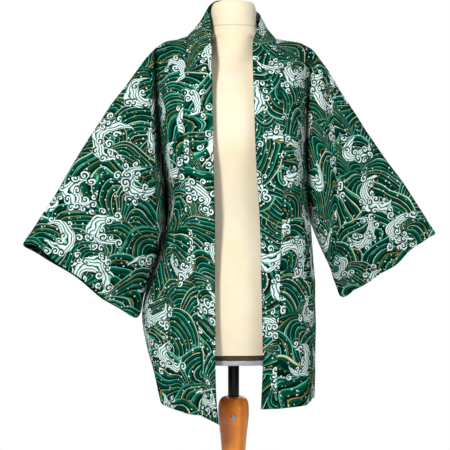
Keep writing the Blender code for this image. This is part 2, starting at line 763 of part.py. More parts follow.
def place(collection):
    """Hangs every piece on an empty that stands in the middle."""
    centre = bpy.data.objects.new("centre", None)
    centre.location.x = CENTRE_X
    for piece in list(collection.objects):
        piece.parent = centre
    collection.objects.link(centre)


def main():
    clear_scene()
    collection = new_collection("haori_on_dress_form")
    cloth = new_material("wave_print_cotton", (0.010, 0.150, 0.105), 0.75)
    band = new_material("wave_print_collar", (0.014, 0.175, 0.125), 0.75)
    jersey = new_material("cream_jersey", (0.90, 0.83, 0.64), 0.85)
    binding = new_material("dark_binding", (0.10, 0.09, 0.05), 0.8)
    board = new_material("pale_board", (0.55, 0.54, 0.60), 0.6)
    black = new_material("black_tube", (0.015, 0.015, 0.017), 0.25, 0.6)
    wood = new_material("orange_beech", (0.75, 0.28, 0.07), 0.28)
    steel = new_material("screw_steel", (0.55, 0.55, 0.55), 0.3, 1.0)
    build_jacket(collection, cloth, band)
    build_form(collection, jersey, binding, board)
    build_stand(collection, black, wood, steel)
    place(collection)


main()
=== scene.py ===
import math

import bpy
import numpy as np
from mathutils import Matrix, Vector, kdtree


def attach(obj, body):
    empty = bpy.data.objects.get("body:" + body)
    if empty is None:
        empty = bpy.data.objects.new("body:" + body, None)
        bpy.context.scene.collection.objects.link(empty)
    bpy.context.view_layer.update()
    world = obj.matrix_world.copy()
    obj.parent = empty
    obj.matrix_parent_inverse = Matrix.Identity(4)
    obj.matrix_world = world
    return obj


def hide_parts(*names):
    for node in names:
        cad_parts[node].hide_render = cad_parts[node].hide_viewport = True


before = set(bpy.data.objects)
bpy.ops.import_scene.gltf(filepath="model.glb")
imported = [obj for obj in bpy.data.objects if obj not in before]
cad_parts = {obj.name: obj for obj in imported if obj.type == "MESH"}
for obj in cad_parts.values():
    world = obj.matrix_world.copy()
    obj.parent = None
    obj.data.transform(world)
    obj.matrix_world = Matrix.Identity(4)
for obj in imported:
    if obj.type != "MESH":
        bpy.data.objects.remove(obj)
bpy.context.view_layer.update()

cameraSettings = {"place": (-0.0153, -2.6, 1.022), "lens": 96.72, "sensor": 36.0, "farthest": 50}


def addObject(name, data):
    thing = bpy.data.objects.new(name, data)
    bpy.context.scene.collection.objects.link(thing)
    return thing


def makeCamera(settings):
    data = bpy.data.cameras.new("Camera")
    data.lens, data.sensor_width, data.clip_end = (settings[n] for n in ("lens", "sensor", "farthest"))
    camera = addObject("Camera", data)
    camera.location, camera.rotation_euler = settings["place"], (math.pi / 2, 0, 0)
    bpy.context.scene.camera = camera


makeCamera(cameraSettings)
print("camera set")


# smooth curves through tables
def table(columns, *rows):  # named columns, with lengths in millimetres and shares in thousandths
    return dict(zip(columns.split(), np.round(np.array(rows, float).T / 1000, 6)))


def slopesOf(at, values, level):
    gap = np.diff(at)[:, None]
    step = np.diff(values, axis=0) / gap
    inner = (step[1:] * gap[:-1] + step[:-1] * gap[1:]) / (gap[1:] + gap[:-1])
    if level:
        inner = np.where(step[1:] * step[:-1] > 0, inner, 0)
    return np.vstack([step[:1], inner, step[-1:]])


def hermite(start, leaving, end, arriving, t):
    return (start * (1 + 2 * t) * (1 - t) ** 2 + leaving * t * (1 - t) ** 2
            + end * t**2 * (3 - 2 * t) + arriving * t**2 * (t - 1))


def through(at, values, where, level=False):  # the smooth curve through values, read at where
    at, where = np.asarray(at, float), np.atleast_1d(np.asarray(where, float))
    values = np.asarray(values, float).reshape(len(at), -1)
    if at[0] > at[-1]:
        at, values = at[::-1], values[::-1]
    tangents = slopesOf(at, values, level)
    i = np.clip(np.searchsorted(at, where) - 1, 0, len(at) - 2)
    width = (at[i + 1] - at[i])[:, None]
    t = np.clip((where - at[i])[:, None] / width, 0, 1)
    return hermite(values[i], tangents[i] * width, values[i + 1], tangents[i + 1] * width, t)


def readColumn(source, name, where, key="height"):
    return through(source[key], source[name], where, level=True)[0, 0]


def pointsOf(source, name):  # a line's three columns
    return np.stack([source[name + axis] for axis in ("_x", "_y", "_z")], 1)


def bezier(a, b, c, d, t):
    t = t[:, None]
    return a * (1 - t) ** 3 + 3 * b * t * (1 - t) ** 2 + 3 * c * t**2 * (1 - t) + d * t**3


def ease(t):
    t = np.clip(t, 0, 1)
    return t * t * (3 - 2 * t)


def unit(v):
    return v / np.linalg.norm(v, axis=-1, keepdims=True)


def circle(sides):
    turn = np.linspace(0, 2 * math.pi, sides, endpoint=False)
    return np.cos(turn), np.sin(turn)


def outOf(side):
    return -1.0 if side == "r" else 1.0


# the jacket's cut, in metres; x is from its own middle
jacket = {
    "centreX": 0.0051, "yokeTop": 1.4015, "yokeEnd": 1.300, "underarm": 1.026, "hem": 0.653,
    "hangPower": 1.5, "clothThick": 0.0011, "bandThick": 0.0026, "bandProud": 0.0007,
    "sideRound": 0.62, "sideFlat": 0.55, "frontFall": 0.10, "frontLean": 0.35, "armFade": 0.05,
    "backLean": {"r": 0.25, "l": -0.30}, "frontReach": (0.125, 0.070), "backReach": (0.110, 0.070),
    "frontPitch": 0.10, "backPitch": 0.12, "napePitch": 0.75, "napeShort": 0.45, "yokeDrop": 0.13,
    "flapFlat": 0.98, "flapLeave": 0.16, "flapBulge": 0.40,
    "hemWidth": 0.018, "hemSoft": 0.002, "hemProud": 0.0004,
    "shoulderShare": 8 / 26,  # of the back's columns, as in the solid
}

# rows and columns: the multiples refine the solid's own grid, so both lie on one surface
jacketGrid = {"yokeRows": 6 * 5, "armRows": 7 * 8, "armCrowd": 1.35, "valleyCrowd": 1.4, "skirtRows": 96,
              "panelColumns": 40, "flapColumns": 18, "necklineColumns": 50, "sleeveRings": 80,
              "bandColumns": 9, "panelEdge": 0.010, "narrowEdge": 0.03, "solidRows": (6, 13),
              "crownPoints": 11, "skirtEnd": 0.9955, "sleeveEnds": (0.004, 0.996), "ringStep": 0.02}
# where these pieces are cut from the printed cloth
printPlace = {"sleeveFront": 0.17, "frontUp": 0.05, "rear": [0.53, 0.31], "collar": 0.9}

bodyTable = table("height seam_r seam_l seam_y fold_r fold_l fold_y side_r side_l front_y rear_y back_y",
    (1300, -103.5, 96, -109, -46.5, 38.5, -119, -166.5, 156, -26, 40, 105),
    (1250, -106.2, 100, -117, -45.5, 40, -127, -164.5, 153, -28, 43, 110),
    (1200, -106, 100.2, -121, -44.3, 41.5, -131, -160, 152.5, -27, 44, 112),
    (1120, -102.5, 99, -123, -42.5, 45, -133, -149, 155, -18, 36, 112),
    (1026, -96, 96, -124, -40.8, 51, -134, -144, 164, 10, 10, 116),
    (950, -88.5, 93.3, -126, -40.5, 53, -135, -164, 170, 10, 10, 124),
    (885, -78, 92, -129, -40.2, 54.5, -137, -190, 175, 10, 10, 132),
    (830, -75.5, 89, -131, -40, 55.5, -138, -199, 175, 10, 10, 137),
    (760, -69, 86.2, -134, -39.8, 56.8, -135, -189.5, 174, 10, 10, 140),
    (700, -65.5, 85.7, -136, -37, 55, -121, -173, 173, 10, 10, 141),
    (653, -70, 85.7, -137, -31.8, 53, -106, -161.7, 171, 10, 10, 141),
)
hemDrop = {"seam_r": 0.019, "seam_l": 0.006, "fold_r": 0.044, "fold_l": 0.012, "back": -0.060}
neckTable = table("seam_x seam_y seam_z fold_x fold_y fold_z",
    (-103.5, -109, 1300, -46.5, -119, 1300),
    (-101.8, -88, 1354, -47.6, -101, 1360),
    (-101.2, -52, 1400, -48.5, -70, 1418),
    (-100, 0, 1428, -51.5, -30, 1464),
    (-83, 46, 1443, -55.5, 12, 1494),
    (-47, 79, 1454, -36, 56, 1515),
    (0, 90, 1457, 2, 69, 1513),
    (43, 79, 1451, 37, 55, 1499),
    (73, 46, 1438, 56, 12, 1475),
    (87, 0, 1424, 51.5, -30, 1447),
    (89, -52, 1394, 38.5, -70, 1406),
    (91, -88, 1352, 37, -101, 1356),
    (96, -109, 1300, 38.5, -119, 1300),
)
neckEnds = (3, 9)  # the rows, from 0, where the shoulder seams start
shoulderTable = {
    "r": table("x z", (-100, 1428), (-125, 1421), (-148, 1416.5), (-172, 1401.5)),
    "l": table("x z", (87, 1424), (112, 1418), (140, 1414), (166, 1401.5)),
}
valleyTable = table("height side_r side_l front_y rear_y",
    (1401.5, -172, 166, 0, 0),
    (1385, -171.5, 168, -10, 12),
    (1355, -170, 166, -19, 26),
    (1300, -166.5, 156, -26, 40),
)
sleeveTable = {
    "r": table("along top_x top_y top_z under_x under_y under_z thick",
        (0, -189, 0, 1383, -169.5, 46, 926, 40), (270, -266.2, -5, 1277.4, -180, 46, 905.5, 38),
        (520, -330.4, -10, 1178.4, -190.5, 44, 886, 32), (750, -386, -15, 1084, -198.5, 34, 862, 25),
        (1000, -450, -20, 983.6, -203, 10, 813, 18),
    ),
    "l": table("along top_x top_y top_z under_x under_y under_z thick",
        (0, 196.5, 0, 1359, 212, 45, 925, 40), (250, 255.5, 12, 1269.4, 219, 70, 906, 38),
        (410, 293.8, 20, 1214.9, 224, 92, 893, 34), (690, 364.1, 34, 1117.9, 233, 130, 875, 26),
        (1000, 439.9, 50, 1007.8, 245, 168, 853.5, 18),
    ),
}
foldTable = {
    "front_r": table("across width upper lower out",
        (300, 100, 1340, 1050, -4), (620, 120, 950, 660, 6), (860, 90, 900, 660, -5),
    ),
    "front_l": table("across width upper lower out",
        (120, 100, 920, 660, -6), (450, 120, 900, 660, 6), (800, 100, 1100, 660, -4),
    ),
    "back": table("across width upper lower out",
        (200, 50, 1200, 700, 7), (340, 50, 1250, 700, -6), (500, 60, 1100, 700, 6),
        (660, 50, 1250, 700, -6), (810, 50, 1200, 700, 7),
    ),
}


def hang(height):  # how much of the hem's drop a row has
    return ((jacket["yokeEnd"] - height) / (jacket["yokeEnd"] - jacket["hem"])) ** jacket["hangPower"]


def edgePoint(line, side, height):  # on the collar's seam or fold
    name = line + "_" + side
    x, y = readColumn(bodyTable, name, height), readColumn(bodyTable, line + "_y", height)
    return np.array([x, y, height - hemDrop[name] * hang(height)])


# cloth gathered just below the underarm
sideFull = {"r": 0.0055, "l": 0.0, "height": 0.993, "reach": 0.020}


def sidePoint(side, height, face):
    source = bodyTable if height <= jacket["yokeEnd"] else valleyTable
    full = sideFull[side] * math.exp(-((height - sideFull["height"]) / sideFull["reach"]) ** 2)
    x = readColumn(source, "side_" + side, height) + outOf(side) * full
    return np.array([x, readColumn(source, face, height), height])


def armShare(height):  # 1 beside a sleeve, 0 below the underarm
    return float(ease((height - jacket["underarm"]) / jacket["armFade"]))


def spread(count, edge):  # places from 0 to 1, with a narrow first and last cell
    return np.concatenate([[0], np.linspace(edge, 1 - edge, count - 1), [1]])


panelPlaces = spread(jacketGrid["panelColumns"], jacketGrid["panelEdge"])
shoulderEnds = jacket["shoulderShare"], 1 - jacket["shoulderShare"]
backPlaces = np.concatenate([
    (1 - panelPlaces[::-1]) * shoulderEnds[0],
    np.linspace(*shoulderEnds, jacketGrid["necklineColumns"] + 1)[1:-1],
    1 - shoulderEnds[0] * (1 - panelPlaces),
])
backHalfPlaces = backPlaces[: (len(backPlaces) + 1) // 2] * 2


def frontRow(side, height):  # from the collar seam to the side line
    start, end = edgePoint("seam", side, height), sidePoint(side, height, "front_y")
    deep, lean = end[1] - start[1], jacket["frontLean"] * armShare(height) * outOf(side)
    leaving = start + [jacket["sideRound"] * (end[0] - start[0]), jacket["frontFall"] * deep, 0]
    arriving = end - [lean * deep / 2, jacket["sideFlat"] * deep, 0]
    return bezier(start, leaving, arriving, end, panelPlaces)


def backHalf(side, height):  # from the side line to the middle of the back
    start = sidePoint(side, height, "rear_y")
    end = np.array([0, readColumn(bodyTable, "back_y", height), height - hemDrop["back"] * hang(height)])
    deep, lean = end[1] - start[1], jacket["backLean"][side] * armShare(height) * outOf(side)
    leaving = start + [lean * deep / 2, jacket["sideRound"] * deep, 0]
    arriving = end - [jacket["sideFlat"] * (end[0] - start[0]), 0, 0]
    return bezier(start, leaving, arriving, end, backHalfPlaces)


def backRow(height):
    right, left = backHalf("r", height), backHalf("l", height)
    return np.vstack([right, left[-2::-1]])


def armHeights():
    left = (1 - np.linspace(0, 1, jacketGrid["armRows"] + 1)) ** jacketGrid["armCrowd"]
    return jacket["underarm"] + (jacket["yokeEnd"] - jacket["underarm"]) * left


def levelHeights():
    down = np.linspace(0, 1, jacketGrid["skirtRows"])
    down = np.concatenate([down[:-1], [jacketGrid["skirtEnd"], 1]])  # a narrow last row
    skirt = jacket["underarm"] + (jacket["hem"] - jacket["underarm"]) * down
    return np.concatenate([armHeights()[1:], skirt[1:]])


# the yoke, from the shoulder seams and the neckline down to the first level row
yokeDown = np.linspace(0, 1, jacketGrid["yokeRows"] + 1)


def neckPoints(name, places):
    return through(np.arange(len(neckTable["seam_x"])), pointsOf(neckTable, name), places)


def yokePlaces(side):
    return neckEnds[0] * (1 - yokeDown) if side == "r" else neckEnds[1] + neckEnds[0] * yokeDown


def necklinePlaces():
    return np.linspace(neckEnds[0], neckEnds[1], jacketGrid["necklineColumns"] + 1)


def shoulderSeam(side):
    line = shoulderTable[side]
    x = line["x"][0] + (line["x"][-1] - line["x"][0]) * panelPlaces
    return np.stack([x, np.zeros_like(x), through(line["x"], line["z"], x)[:, 0]], 1)


def valleyLine(side, face):
    drop = jacket["yokeTop"] - jacket["yokeEnd"]
    heights = jacket["yokeTop"] - drop * yokeDown ** jacketGrid["valleyCrowd"]
    return np.array([shoulderSeam(side)[-1]] + [sidePoint(side, h, face) for h in heights[1:]])


def yokeRows(top, leaving, level, first, last, across):
    arriving = np.tile([0, 0, -jacket["yokeDrop"]], (len(top), 1))
    rows = hermite(top[None], leaving[None], level[None], arriving[None], yokeDown[:, None, None])
    across = across[None, :, None]
    mendFirst, mendLast = first - rows[:, 0], last - rows[:, -1]
    return rows + mendFirst[:, None] * (1 - across) ** 3 + mendLast[:, None] * across**3


def frontYoke(side):
    near, far = jacket["frontReach"]
    reach = near + (far - near) * panelPlaces
    leaving = np.stack([0 * reach, -reach, -jacket["frontPitch"] * reach], 1)
    top, level = shoulderSeam(side), frontRow(side, jacket["yokeEnd"])
    first, last = neckPoints("seam", yokePlaces(side)), valleyLine(side, "front_y")
    return yokeRows(top, leaving, level, first, last, panelPlaces)


def backYoke():
    right, left = shoulderSeam("r")[::-1], shoulderSeam("l")
    top = np.vstack([right, neckPoints("seam", necklinePlaces())[1:-1], left])
    near, far = jacket["backReach"]
    reach = np.interp(backPlaces, [0, *shoulderEnds, 1], [far, near, near, far])
    count = jacketGrid["crownPoints"]
    crown = np.sin(np.linspace(0, math.pi, count)).clip(0) ** 0.5
    nape = through(np.linspace(*shoulderEnds, count), crown, backPlaces.clip(*shoulderEnds))[:, 0]
    along, down = 1 - jacket["napeShort"] * nape, jacket["backPitch"] + jacket["napePitch"] * nape
    leaving = np.stack([0 * reach, reach * along, -reach * down], 1)
    first, last = valleyLine("r", "rear_y"), valleyLine("l", "rear_y")
    return yokeRows(top, leaving, backRow(jacket["yokeEnd"]), first, last, backPlaces)


def addFolds(rows, across, folds):  # soft upright folds, as in the solid
    across = across[None, :]
    z = rows[:, :, 2]
    total = 0
    for at, width, upper, lower, depth in zip(*folds.values()):
        share = ease((upper - z) / (upper - lower)) * np.exp(-(((across - at) / width) ** 2))
        total = total + depth * share * ease(4 * across) * ease(4 - 4 * across)
    return rows + unit(rows * [1, 1, 0]) * total[:, :, None]


def frontBody(side):
    skirt = [frontRow(side, h) for h in levelHeights()]
    return addFolds(np.concatenate([frontYoke(side), skirt]), panelPlaces, foldTable["front_" + side])


def backBody():
    skirt = [backRow(h) for h in levelHeights()]
    return addFolds(np.concatenate([backYoke(), skirt]), backPlaces, foldTable["back"])


def armAngles(side):  # round each sleeve ring, level with the valley's rows
    heights = np.concatenate([valleyLine(side, "front_y")[:, 2], armHeights()[1:]])
    share = (heights[0] - heights) / (heights[0] - heights[-1])
    return np.arccos(np.clip(1 - 2 * share, -1, 1))


def sleeveLine(side, name, along):
    return through(sleeveTable[side]["along"], pointsOf(sleeveTable[side], name), along)[0]


def ringFrame(side, along):
    top, under = sleeveLine(side, "top", along), sleeveLine(side, "under", along)
    before, after = max(along - jacketGrid["ringStep"], 0), min(along + jacketGrid["ringStep"], 1)
    ran = unit(sum(sleeveLine(side, n, after) - sleeveLine(side, n, before) for n in ("top", "under")))
    front = unit(np.cross(ran, top - under) * outOf(side))
    return (top + under) / 2, (top - under) / 2, front, ran


# the cuff's round corner, its waves along the sleeve and out of it, and its drawn-back tip
cuff = {"corner": 0.014, "cornerShare": 0.19, "looseShare": 0.30, "waves": {"r": 3.1, "l": 4.3},
        "wave": 0.0028, "waveStart": 0.7, "second": 2.3,
        "swing": 0.0040, "swingMore": 2.2, "swingStart": 1.1, "lipEnd": 1.25, "lipPower": 1.3,
        "lip": {"r": {-1: -0.0085, 1: 0.0020}, "l": {-1: 0.0, 1: 0.0}}}


def halfRing(side, along, face, angles):  # face is -1 for the front half and 1 for the rear half
    middle, half, front, ran = ringFrame(side, along)
    thick = readColumn(sleeveTable[side], "thick", along, "along")
    late = max(0.0, (along - 1 + cuff["cornerShare"]) / cuff["cornerShare"])
    cut = cuff["corner"] * (1 - math.sqrt(max(0.0, 1 - late * late)))  # the lower corner is rounded off
    length = np.linalg.norm(half)
    middle, half = middle + half / length * cut / 2, half * (1 - cut / 2 / length)
    a = angles[:, None]
    loose = float(ease((along - 1 + cuff["looseShare"]) / cuff["looseShare"]))
    turns = cuff["waves"][side]
    slide = cuff["wave"] * np.sin(turns * a + cuff["waveStart"])
    slide = slide + cuff["wave"] * 0.5 * np.sin(cuff["second"] * turns * a)
    lip = np.sin(math.pi * np.clip(a / cuff["lipEnd"], 0, 1)) ** cuff["lipPower"]
    slide = slide + cuff["lip"][side][face] * lip  # so the rear half's inside shows below the tip
    waves = np.sin((turns + cuff["swingMore"]) * a + cuff["swingStart"] * face)
    swing = cuff["swing"] * np.sin(a) * waves
    ring = middle + np.cos(a) * half - face * np.sin(a) * thick * front
    return ring + loose * (slide * ran + swing * front)


def flapRows(side, face, valley, angles):  # from the valley to the sleeve seam
    seam = halfRing(side, 0, face, angles)
    _, _, front, ran = ringFrame(side, 0)
    yokeRow, lastRow = jacketGrid["solidRows"]
    yoke, arm = (np.linspace(*run) for run in ((0, yokeRow, jacketGrid["yokeRows"] + 1),
                                               (yokeRow, lastRow, jacketGrid["armRows"] + 1)))
    rowAt = np.concatenate([yoke, arm[1:]]) / lastRow
    places = spread(jacketGrid["flapColumns"], jacketGrid["narrowEdge"])
    rows = []
    for at, start, end in zip(rowAt, valley, seam):
        down = min(1, at / jacket["flapFlat"])
        bulge = math.sqrt(max(0, 4 * down * (1 - down)))
        length = np.linalg.norm(end - start)
        straight = (end - start) / length
        leaving = straight * jacket["flapLeave"] - front * face * jacket["flapBulge"] * bulge
        arriving = (straight * (1 - bulge / 2) + ran * bulge / 2) / 3
        rows.append(bezier(start, start + leaving * length, end - arriving * length, end, places))
    return np.array(rows)


# a sheet is a set of grids that share their edge points
class Sheet:
    def __init__(self, name, thick, proud=0.0):
        self.name, self.thick, self.proud = name, thick, proud
        self.grids, self.flats, self.flips = [], [], []

    def add(self, grid, flat, outward=True):
        self.grids.append(grid)
        self.flats.append(flat)
        self.flips.append(not outward)

    def weld(self):  # one list of points, and faces with the outer side out
        every = np.concatenate([g.reshape(-1, 3) for g in self.grids])
        _, first, back = np.unique(keysOf(every), axis=0, return_index=True, return_inverse=True)
        self.points, back = every[first], back.reshape(-1)
        faces, flats, start = [], [], 0
        for grid, flat, flip in zip(self.grids, self.flats, self.flips):
            count = grid.shape[0] * grid.shape[1]
            corners = cellCorners(np.arange(start, start + count).reshape(grid.shape[:2])).reshape(-1, 4)
            placed = cellCorners(flat).reshape(-1, 4, 2)
            start += count
            if flip:
                corners, placed = corners[:, ::-1], placed[:, ::-1]
            faces.append(back[corners])
            flats.append(placed)
        self.faces, self.corners = np.concatenate(faces), np.concatenate(flats)

    def pointNormals(self):
        p = self.points[self.faces]
        normal = np.cross(p[:, 2] - p[:, 0], p[:, 3] - p[:, 1])
        normal /= np.linalg.norm(normal, axis=1, keepdims=True) + 1e-12  # both walls of a fold count alike
        total = np.zeros_like(self.points)
        for k in range(4):
            np.add.at(total, self.faces[:, k], normal)
        return unit(total)

    def rimEdges(self):
        a, b = self.faces.reshape(-1), np.roll(self.faces, -1, 1).reshape(-1)
        count = len(self.points)
        alone = (~np.isin(a * count + b, b * count + a)) & (a != b)
        return np.stack([a[alone], b[alone]], 1)


def cellCorners(grid):  # the four corners of each cell of a grid
    return np.stack([grid[:-1, :-1], grid[1:, :-1], grid[1:, 1:], grid[:-1, 1:]], 2)


keyCells = {"perMetre": 1e5, "shift": 0.37}


def keysOf(points):  # the 0.01 mm cell that each point is in
    return np.floor(np.asarray(points) * keyCells["perMetre"] + keyCells["shift"]).astype(np.int64)


def arcs(rows):  # lengths along each row from its first point
    steps = np.linalg.norm(np.diff(rows, axis=1), axis=2)
    return np.concatenate([np.zeros((len(rows), 1)), np.cumsum(steps, 1)], 1)


def rowHeights(rows):  # cloth lengths down each column, level with the yoke's last row
    down = arcs(rows.transpose(1, 0, 2)).T
    level = jacketGrid["yokeRows"]
    return rows[level : level + 1, :, 2] + down[level] - down


def laidBeside(start, run, rows):  # flat places of rows that go on from a column of flat places
    across = start[:, None, 0] + run * arcs(rows)
    return np.stack([across, np.repeat(start[:, None, 1], rows.shape[1], 1)], -1)


def jacketSheets():
    armRows = jacketGrid["yokeRows"] + jacketGrid["armRows"] + 1
    back, rear = Sheet("back", jacket["clothThick"]), backBody()
    across = arcs(rear)
    middle = across.shape[1] // 2
    rearFlat = np.stack([-(across - across[:, middle : middle + 1]), rowHeights(rear)], -1)
    back.add(rear, rearFlat, outward=False)
    sheets = [back]
    for side, name, edge in (("r", "right", 0), ("l", "left", -1)):
        right, run, angles = side == "r", outOf(side), armAngles(side)
        body = frontBody(side)
        flat = np.stack([body[:, :1, 0] + run * arcs(body), rowHeights(body)], -1)
        front = Sheet("front_" + name, jacket["clothThick"])
        front.add(body, flat, outward=not right)
        rows = flapRows(side, -1, body[:armRows, -1], angles)
        front.add(rows, laidBeside(flat[:armRows, -1], run, rows), outward=not right)
        rows = flapRows(side, 1, rear[:armRows, edge], angles)
        back.add(rows, laidBeside(rearFlat[:armRows, edge], -run, rows), outward=right)
        sheets += [front, sleeveSheet(side, name, angles)]
    sheets.append(collarSheet())
    for sheet in sheets:
        sheet.weld()
    return sheets


def sleeveSheet(side, name, angles):  # two halves that meet at the top fold and at the seam underneath
    sheet = Sheet("sleeve_" + name, jacket["clothThick"])
    first, last = jacketGrid["sleeveEnds"]
    between = np.linspace(0, 1, jacketGrid["sleeveRings"])[1:-1]
    stations = np.concatenate([[0, first], between, [last, 1]])
    frontMove = [printPlace["sleeveFront"] * outOf(side), printPlace["frontUp"]]
    for face, flip, move in ((-1, 1, frontMove), (1, [-1, 1], printPlace["rear"])):
        rings = np.array([halfRing(side, s, face, angles) for s in stations])
        top, under = rings[:, :1, ::2], rings[:, -1:, ::2]
        flat = (top + unit(under - top) * arcs(rings)[:, :, None]) * flip + move
        sheet.add(rings, flat, outward=(side == "r") == (face == -1))
    return sheet


def collarLine(line):  # from the right front's hem round the neck to the left front's hem
    heights = levelHeights()
    places = np.concatenate([yokePlaces("r")[::-1], necklinePlaces()[1:-1], yokePlaces("l")])
    right = [edgePoint(line, "r", h) for h in heights[::-1]]
    left = [edgePoint(line, "l", h) for h in heights]
    return np.array([*right, *neckPoints(line, places), *left])[:, None]


def collarSheet():
    share = spread(jacketGrid["bandColumns"], jacketGrid["narrowEdge"])[None, :, None]
    grid = collarLine("seam") * (1 - share) + collarLine("fold") * share
    run = arcs(grid.transpose(1, 0, 2)).T
    run = np.repeat(run.mean(1, keepdims=True), grid.shape[1], 1)
    sheet = Sheet("collar", jacket["bandThick"], jacket["bandProud"])
    sheet.add(grid, np.stack([printPlace["collar"] + arcs(grid), run], -1), outward=False)
    return sheet


# creases on the hanging cloth: x and z of their ends, bend to +X, width and rise
creases = {
    "front": table("x1 z1 x2 z2 bend width rise",
        # right sleeve
        (-205, 1345, -232, 1060, -12, 13, -3.5), (-232, 1300, -262, 1010, 10, 11, 2.6),
        (-215, 1190, -215, 900, -6, 10, -3), (-262, 1230, -315, 985, -12, 15, -2.4),
        (-300, 1120, -350, 930, 8, 12, 2.2), (-335, 1120, -392, 985, -8, 13, -2),
        (-250, 980, -262, 850, 4, 12, 2.8), (-305, 950, -322, 875, 2, 11, -2.2),
        (-365, 1000, -400, 905, 4, 12, 1.8),
        # right front
        (-125, 1395, -135, 1200, 8, 12, -2.2), (-129, 1215, -131, 1130, 3, 7, -3),
        (-120, 1110, -112, 860, -6, 13, 2.2), (-142, 1080, -165, 820, -10, 11, -2.6),
        (-100, 900, -128, 690, 10, 15, -2.2), (-165, 860, -160, 690, 6, 12, 2.4),
        # left front
        (118, 1395, 122, 1230, -8, 12, -2), (128, 1230, 118, 1060, 6, 10, 2),
        (120, 1050, 140, 820, 8, 14, -2.4), (105, 900, 112, 690, -6, 13, 2.2),
        (150, 850, 142, 680, 4, 11, -2.2),
        # left sleeve
        (195, 1330, 222, 1080, 10, 12, -3), (222, 1290, 262, 1020, -8, 12, 2.4),
        (228, 1140, 238, 910, 6, 11, -2.8), (262, 1210, 318, 990, 12, 14, -2.2),
        (300, 1120, 345, 965, -6, 12, 2), (268, 1000, 285, 880, -4, 12, 2.8),
        (325, 1090, 382, 985, 6, 12, -1.8), (320, 980, 335, 915, 3, 11, -2),
    ),
    "rear": table("x1 z1 x2 z2 bend width rise",
        # right sleeve
        (-205, 1340, -226, 1040, 10, 13, -3.2), (-240, 1270, -285, 990, -10, 14, 2.4),
        (-222, 1100, -228, 890, 6, 11, -2.8), (-290, 1180, -345, 960, 10, 13, -2.2),
        (-330, 1090, -385, 940, -6, 12, 2), (-272, 960, -284, 860, 4, 12, 2.6),
        # back
        (-140, 1330, -118, 1130, -10, 13, -2.2), (-85, 1290, -70, 1060, 8, 14, 2),
        (-128, 1120, -142, 860, 10, 13, -2.6), (-40, 1120, -52, 880, -6, 15, -2.2),
        (-100, 960, -108, 730, -8, 13, 2.4), (20, 1250, 30, 1010, 6, 16, 1.8),
        (62, 1310, 78, 1080, -8, 13, -2.2), (50, 1000, 44, 760, 6, 14, -2),
        (132, 1300, 118, 1090, 10, 12, 2), (112, 1060, 128, 820, -10, 14, -2.6),
        (90, 930, 96, 740, 6, 12, 2.2),
        # left sleeve
        (205, 1310, 232, 1050, -10, 13, -3), (242, 1250, 292, 1020, 10, 14, 2.2),
        (240, 1080, 252, 900, -4, 11, -2.6), (300, 1150, 352, 985, -8, 13, -2),
        (282, 980, 300, 890, 4, 12, 2.4), (345, 1060, 390, 975, 4, 12, 1.8),
    ),
}
# slow unevenness of hanging cloth: rise, waves per metre along each axis, and where they start
ripples = (
    (0.00045, 61, 23, 14, 0.4), (0.00040, -43, 37, 19, 2.1), (0.00035, 88, -29, 31, 4.0),
    (0.00030, 37, 52, -47, 1.2), (0.00022, 131, 40, -26, 5.1), (0.00018, -97, 71, 66, 3.3),
)
creaseShape = {"steps": 25, "reach": 3, "narrow": 0.75, "widen": 0.5, "fade": 0.7, "hollow": 0.45,
               "facing": 2.2, "ends": (0.02, 0.98)}
restFree = {"height": 1.335, "soft": 0.05}  # above this the cloth rests on the form, and only rises from it

# where cloth lies in the dark of a deep fold, which is painted on as shade: ends, width at each end, and
# strength
deepFolds = table("x1 z1 x2 z2 wide1 wide2 dark",
    (-169, 1392, -166.8, 1300, 5, 9, 750), (-166.8, 1300, -161.5, 1200, 9, 12, 850),
    (-161.5, 1200, -150, 1110, 12, 13, 900), (-150, 1110, -144, 1040, 13, 12, 950),
    (-144, 1040, -157, 975, 12, 12, 1000), (-157, 975, -179, 906, 12, 9, 1000),
    (-179, 906, -199, 840, 9, 4, 950), (165.5, 1385, 156, 1300, 4, 5, 600),
    (156, 1300, 152.5, 1200, 5, 6, 750), (152.5, 1200, 155, 1110, 6, 6, 750),
    (155, 1110, 164, 1026, 6, 4, 700),
)
shadeFacing = 0.5, 2.0  # how far a face may turn away from the front and still get the painted shade
pinchReach = 1.5  # creases fade out within this many widths of a deep fold, which has no room for them


def nearFold(points, wider=1.0, shaded=False):  # 1 in a deep fold, 0 away from all of them
    near, flat = np.zeros(len(points)), points[:, ::2]
    for x1, z1, x2, z2, wide1, wide2, dark in zip(*deepFolds.values()):
        start, run = np.array([x1, z1]), np.array([x2 - x1, z2 - z1])
        t = np.clip((flat - start) @ run / (run @ run), 0, 1)
        width = wide1 + (wide2 - wide1) * t
        away = np.linalg.norm(flat - start - t[:, None] * run, axis=1) / width / wider
        near = np.maximum(near, (dark if shaded else 1.0) * np.exp(-away ** 2))
    return near


def addCrease(total, points, near, share, crease):
    x1, z1, x2, z2, bend, width, rise = crease
    s, flat = creaseShape, points[:, ::2]
    steps, reach = np.linspace(0, 1, s["steps"]), s["reach"] * width
    low = min(x1, x2) - reach - abs(bend), min(z1, z2) - reach
    high = max(x1, x2) + reach + abs(bend), max(z1, z2) + reach
    some = near[((flat[near] > low) & (flat[near] < high)).all(1)]
    if not len(some):
        return
    path = np.stack([x1 + (x2 - x1) * steps + bend * np.sin(math.pi * steps), z1 + (z2 - z1) * steps], 1)
    away = np.linalg.norm(flat[some][:, None] - path[None], axis=2)
    t = steps[away.argmin(1)]
    d = away.min(1) / (width * (s["narrow"] + s["widen"] * t))
    fade = np.sin(math.pi * t.clip(*s["ends"])) ** s["fade"]
    total[some] += rise * fade * share[some] * (1 - s["hollow"] * d * d) * np.exp(-d * d)


